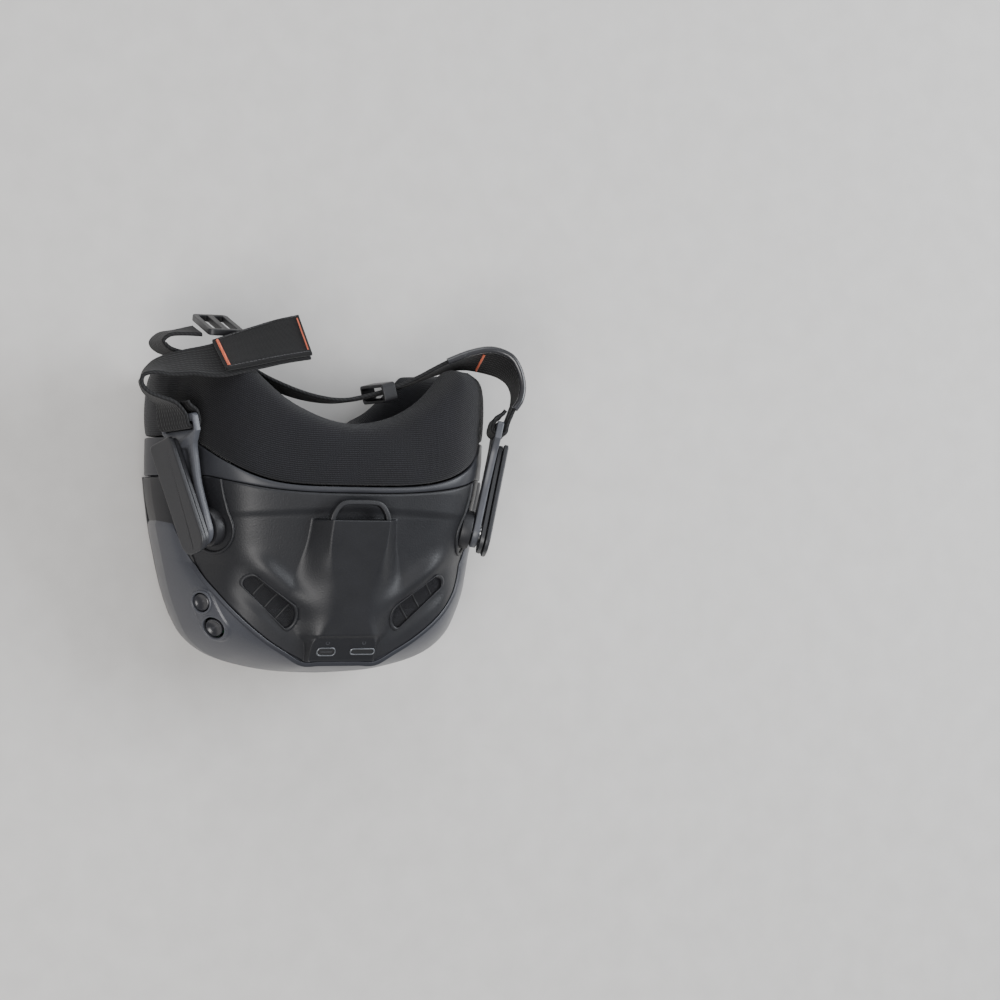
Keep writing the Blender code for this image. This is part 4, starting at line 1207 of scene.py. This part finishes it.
# ---------------------------------------------------------------- sides: antennas, arms, pivots
def build_side(side, word):
    at, back, out, up = pivot_frame(side)
    corners = [(-11, -9.8, 0), (46, -9.8, 0), (46, 9.8, 0), (-11, 9.8, 0)]
    radii = (7.0, 2.6, 2.6, 7.0)
    cos, sin = math.cos(PITCH), math.sin(PITCH)

    def outline(grow, steps=8):
        points = []
        for i, p in enumerate(corners):
            p = Vector(p)
            p.x += grow if p.x > 17 else -grow
            p.y += grow if p.y > 0 else -grow
            a = (Vector(corners[i - 1]) - Vector(corners[i])).normalized()
            b = (Vector(corners[(i + 1) % 4]) - Vector(corners[i])).normalized()
            r = radii[i]
            centre = p + a * r + b * r
            for k in range(steps + 1):
                turn = math.pi / 2 * k / steps
                points.append(centre - a * r * math.sin(turn) * 1.0 - b * r * math.cos(turn) * 1.0)
        return [(q.x * cos + q.y * sin, q.y * cos - q.x * sin) for q in points]

    def stack(name, layers, mat, nodes, body):
        rings = []
        for grow, high in layers:
            rings.append([at + back * a + up * b + out * high for a, b in outline(grow)])
        obj = loft(name, rings, mat, body, nodes)
        return obj
    antenna = "antenna_" + word
    stack("paddle_cover_" + word, ((-0.5, 0.28), (0, 0.6), (0, 2.0), (-0.12, 2.32), (-0.4, 2.56), (-0.8, 2.66),
                                   (-1.1, 2.68), (-3.0, 2.7)), PADDLE, ("antenna_cover_" + word,),
          antenna)
    inner = stack("paddle_back_" + word, ((-1.4, -2.4), (-0.9, -2.1), (-0.8, -0.4), (-1.2, -0.08)), PADDLE,
                  ("antenna_inner_" + word,), antenna)
    bore = lathe("cutter_bore", ((3.9, -4), (3.9, -0.9)), at, out, BLACK, None)
    cut(inner, [bore])
    build_arm(side, word, at, back, out, up)
    disc_profile = ((0, -13), (9.2, -13), (9.8, -12.4), (9.8, -8.1), (9.5, -7.5), (8.8, -7.25), (7.4, -7.2),
                    (7.1, -7.9), (4.4, -7.9), (4.2, -7.2), (0, -7.2))
    lathe("hub_" + word, disc_profile, at, out, BLACK, "headset", ("pivot_boss_" + word,), 64)
    lathe("hub_pin_" + word, ((0, -6.9), (3.3, -6.9), (3.5, -6.6), (3.5, -0.7), (3.2, -0.4), (1.6, -0.4), (1.2, -0.9),
                              (0, -0.9)), at, out, STEEL, "headset", ("pivot_pin_" + word,), 40)
    build_cradle(word, at, back, out, up)


def build_arm(side, word, at, back, out, up):
    def shape_at(grow):
        points = []
        spine = ((-8.2, 0.0), (-4, 7.4), (0, 8.5), (22, 7.0), (30, 8.0), (41, 9.6), (46.2, 13.2), (47.5, 14.5),
                 (56, 14.5))
        table = [(a + 0.0, b) for a, b in spine]
        for i in range(17):
            turn = math.pi / 2 * i / 16
            points.append((-8.3 * math.cos(turn), 8.5 * math.sin(turn)))
        for a in (5, 10, 16, 22, 26, 30, 35, 39, 42, 44.5, 46.2, 47.4):
            points.append((a, spline(tuple(table[2:]), a)))
        for k in range(7):
            turn = math.pi / 2 * k / 6
            points.append((54.2 + 1.8 * math.sin(turn), 12.7 + 1.8 * math.cos(turn)))
        points += [(a, -b) for a, b in reversed(points[1:])]
        middle = Vector((24, 0))
        out_points = []
        for a, b in points:
            q = Vector((a, b))
            d = Vector((0, 1 if b > 0 else -1)) if 2 < a < 53 else (q - middle).normalized()
            if abs(b) < 0.01:
                d = Vector((-1, 0))
            out_points.append(q + d * grow)
        return out_points
    rings = []
    for grow, high in ((-0.8, -6.6), (-0.2, -6.35), (0, -5.9), (0, -3.9), (-0.25, -3.45), (-0.9, -3.2)):
        rings.append([at + back * q.x + up * q.y + out * high for q in shape_at(grow)])
    arm = loft("arm_plate_" + word, rings, ARM, "arm_" + word, ("strap_arm_" + word,))
    bore = lathe("cutter_bore", ((3.9, -9), (3.9, 0)), at, out, BLACK, None)
    hole = rounded([(48, -13.2, 0), (52.4, -13.2, 0), (52.4, 13.2, 0), (48, 13.2, 0)], 1.6, 4)
    slot = cutter_from(prism_rings([(p[0], p[1]) for p in hole], at, back, up, out, -12, 4))
    groove = rounded([(12, -3.2, 0), (40, -4.6, 0), (40, 4.6, 0), (12, 3.2, 0)], 2.2, 4)
    dent = cutter_from(prism_rings([(p[0], p[1]) for p in groove], at, back, up, out, -3.75, 4))
    cut(arm, [bore, slot, dent])


def on_panel(at, out):
    """Where a line from at, straight in along out, meets the panel's surface."""
    low, high = -30.0, 6.0
    for _ in range(30):
        middle = (low + high) / 2
        p = at + out * middle
        if p.z > panel_z(p.x, p.y):
            high = middle
        else:
            low = middle
    return at + out * low


def build_cradle(word, at, back, out, up):
    """Raised U-shaped bead on the panel round the pivot."""
    reach = 13.2
    route = [(22 - 22 * k / 14, reach) for k in range(14)]
    for k in range(31):
        turn = math.pi * 0.92 * k / 30
        route.append((-reach * math.sin(turn), reach * math.cos(turn)))
    points = [on_panel(at + back * a + up * b, out) for a, b in route]
    points = [p + out * (0.35 * min(1, k / 5)) for k, p in enumerate(points)]
    rod("pivot_bead_" + word, points, 0.85, MATTE, "headset", sides=12)


# ---------------------------------------------------------------- buttons, ports, loop, optics
def build_buttons():
    at, out = BUTTONS["back_button"]
    dish = ((0, -0.35), (1.2, -0.32), (2.4, -0.1), (3.1, 0.22), (3.55, 0.46), (3.9, 0.5), (4.2, 0.3), (4.3, -0.1),
            (4.3, -4.5), (0, -4.5))
    lathe("back_cap", dish, at, out, GLOSS, "back_button", ("back_button",), 64)
    at, out = BUTTONS["five_way"]
    dish = ((0, -0.55), (1.4, -0.48), (2.6, -0.2), (3.4, 0.25), (3.9, 0.6), (4.25, 0.66), (4.55, 0.42), (4.65, 0.0),
            (4.5, -1.0), (4.1, -3.0), (0, -3.0))
    lathe("pad_cap", dish, at, out, GLOSS, "five_way_cap", ("five_way_cap",), 64)


def port_z(x, y):
    return panel_z(x, y)


def build_ports():
    for name, x, half_x, half_y, node, mat in (("usb_collar", -8.6, 4.47, 1.6, "usb_c_port", ALLOY),
                                               ("card_collar", 10.4, 6.0, 1.1, "microsd_slot", ALLOY)):
        rings = []
        top = port_z(x, -45.5)
        for grow, drop in ((0.6, -1.6), (0.6, 0.1), (0.45, 0.3), (0.2, 0.34), (0.0, 0.2), (-0.12, -0.6),
                           (-0.15, -3.2)):
            rings.append([Vector((x + a, -45.5 + b, port_z(x + a, -45.5 + b) + drop))
                          for a, b in stadium(half_x + grow, half_y + grow)])
        flipped = [[ring[i] for ring in rings] for i in range(len(rings[0]))]
        loft(name, flipped, mat, "headset", closed=True)
        rings = [[Vector((x + a, -45.5 + b, port_z(x + a, -45.5 + b) + h))
                  for a, b in stadium(half_x - 0.1, half_y - 0.1)] for h in (-1.0, 0.06)]
        # the throat takes the darker black: painted shade inside the port
        loft(name.replace("collar", "throat"), rings, RECESS_SHADE_BLACK, "headset")
        if node == "usb_c_port":
            tongue = rounded([(x - 3.0, -45.8, 0), (x + 3.0, -45.8, 0), (x + 3.0, -45.2, 0), (x - 3.0, -45.2, 0)], 0.2)
            slab("usb_tongue", [(p[0], p[1]) for p in tongue], (0, 0, 0), (1, 0, 0), (0, 1, 0), (0, 0, 1), top - 0.4,
                 top + 0.3, BLACK, "headset", (), 0.1)
    for x in (-8.6, 10.4):
        z = port_z(x, -41)
        lathe(f"port_mark_{'usb' if x < 0 else 'card'}", ((0.55, -0.1), (0.6, 0.12), (0.8, 0.16), (1.0, 0.12),
                                                          (1.05, -0.1)),
              (x, -41, z), (0, -0.3, 1), FRAME, "headset")


def build_loop():
    path = curve_points([(-14.5, 19.5, 101.2), (-13.6, 22.6, 101.8), (-11.4, 26.0, 102.2), (-8.0, 27.9, 102.4),
                         (0, 28.2, 102.4), (8.0, 27.9, 102.4), (11.4, 26.0, 102.2), (13.6, 22.6, 101.8),
                         (14.5, 19.5, 101.2)], 6)
    rings = []
    for i, p in enumerate(path):
        run = (path[min(i + 1, len(path) - 1)] - path[max(i - 1, 0)]).normalized()
        side = run.cross(Vector((0, 0, 1))).normalized()
        section = rounded([(-1.25, -1.9, 0), (1.25, -1.9, 0), (1.25, 1.9, 0), (-1.25, 1.9, 0)], 0.7, 4)
        rings.append([p + side * q[0] + Vector((0, 0, q[1])) for q in section])
    loft("loop_bar", rings, BLACK, "headset", ("strap_loop",))


def build_optics():
    for side, word in ((-1, "right"), (1, "left")):
        at = (side * 31, 0, 48)
        profile = [(21 * k / 10, 22.5 + 5.5 * (1 - (k / 10) ** 2)) for k in range(11)]
        profile += [(21 * k / 10, 19.5 - 3.5 * (1 - (k / 10) ** 2)) for k in range(10, -1, -1)]
        lathe("eyepiece_" + word, profile, at, (0, 1, 0), LENS, "headset", ("lens_" + word,), 96)
        trim = ((21.3, 22.6), (21.3, 25.2), (21.7, 25.8), (22.6, 26.0), (23.6, 25.6), (24.2, 24.4), (24.2, 22.6))
        frame_axes = axes_for((0, 1, 0))
        rings = []
        for k in range(96):
            turn = 2 * math.pi * k / 96
            spoke = frame_axes[0] * math.cos(turn) + frame_axes[1] * math.sin(turn)
            rings.append([Vector(at) + spoke * r + Vector((0, h, 0)) for r, h in trim])
        loft("eyepiece_rim_" + word, rings, BLACK, "headset", closed=True)


SLOT_LOOK = {
    "shell_satin": SATIN, "shell_matte": MATTE, "black_plastic": BLACK, "frame_grey": FRAME, "knit_foam": KNIT,
    "lens_glass": LENS, "display_glass": SCREEN, "aluminium": ALLOY, "circuit_board": BOARD, "steel": STEEL,
    "webbing": WEB, "orange_thread": ORANGE, "cable_jacket": RUBBER,
}


def dress_cad():
    """Every CAD node that stays in view takes the finish of its slot."""
    for node, slot in NODE_SLOTS.items():
        obj = bpy.data.objects.get(node)
        if obj is None:
            continue
        obj.data.materials.clear()
        obj.data.materials.append(SLOT_LOOK[slot])


NODE_SLOTS = {
    "bottom_shell": "black_plastic", "foam_carrier": "black_plastic", "nose_bridge": "black_plastic",
    "lens_plate": "black_plastic", "lens_barrel_left": "black_plastic", "lens_barrel_right": "black_plastic",
    "fan_housing": "black_plastic", "fan_rotor": "black_plastic", "microsd_slot": "black_plastic",
    "five_way_gimbal": "black_plastic", "proximity_sensor": "display_glass", "display_panel": "display_glass",
    "chassis_plate": "aluminium", "heat_sink": "aluminium", "main_board": "circuit_board",
    "button_board": "circuit_board", "board_screw_1": "steel", "board_screw_2": "steel", "board_screw_3": "steel",
    "board_screw_4": "steel", "usb_c_port": "steel", "five_way_stem": "steel",
}


# ---------------------------------------------------------------- stage
def build_stage():
    mesh = bpy.data.meshes.new("floor")
    work = bmesh.new()
    bmesh.ops.create_grid(work, x_segments=1, y_segments=1, size=4.0)
    work.to_mesh(mesh)
    work.free()
    floor = bpy.data.objects.new("floor", mesh)
    floor.location.z = -0.0005
    bpy.context.scene.collection.objects.link(floor)
    mat = bpy.data.materials.new("floor_paper")
    tree, shader = nodes_of(mat)
    place = tree.nodes.new("ShaderNodeTexCoord")
    soft = add(tree, "ShaderNodeTexNoise", Scale=60.0, Detail=4.0)
    link(tree, place.outputs["Object"], soft.inputs["Vector"])
    link(tree, ramp(tree, soft.outputs["Fac"], ((0.3, (0.60, 0.585, 0.565)), (0.7, (0.64, 0.625, 0.605)))),
         shader.inputs["Base Color"])
    shader.inputs["Roughness"].default_value = 0.9
    mesh.materials.append(mat)
    world = bpy.data.worlds.new("studio")
    world.use_nodes = True
    world.node_tree.nodes["Background"].inputs["Color"].default_value = (0.92, 0.95, 1.0, 1)
    world.node_tree.nodes["Background"].inputs["Strength"].default_value = 0.36
    bpy.context.scene.world = world
    for name, at, power, size, colour in (
            ("key", (-0.75, -0.45, 1.5), 24, 0.9, (1.0, 0.98, 0.96)),
            ("fill", (1.1, 0.3, 0.9), 20, 0.9, (0.93, 0.96, 1.0)),
            ("rear", (-0.2, 1.3, 0.9), 8, 1.0, (0.95, 0.97, 1.0))):
        light = bpy.data.lights.new(name, "AREA")
        light.energy = power
        light.size = size
        light.color = colour
        obj = bpy.data.objects.new(name, light)
        obj.location = at
        obj.rotation_euler = (Vector((0, 0.02, 0.05)) - Vector(at)).to_track_quat("-Z", "Y").to_euler()
        bpy.context.scene.collection.objects.link(obj)
    camera = bpy.data.cameras.new("camera")
    camera.sensor_width = 36
    camera.lens = 96.05
    obj = bpy.data.objects.new("camera", camera)
    obj.location = (-0.4519, 0.0219, 1.3170)
    obj.rotation_euler = (math.radians(0.05), math.radians(-23.39), math.radians(0.80))
    bpy.context.scene.collection.objects.link(obj)
    bpy.context.scene.camera = obj


build_panel()
build_vents()
build_front()
build_cheeks()
build_face()
build_straps()
build_ring()
for side, word in ((-1, "right"), (1, "left")):
    build_side(side, word)
build_buttons()
build_ports()
build_loop()
build_optics()
dress_cad()
build_stage()
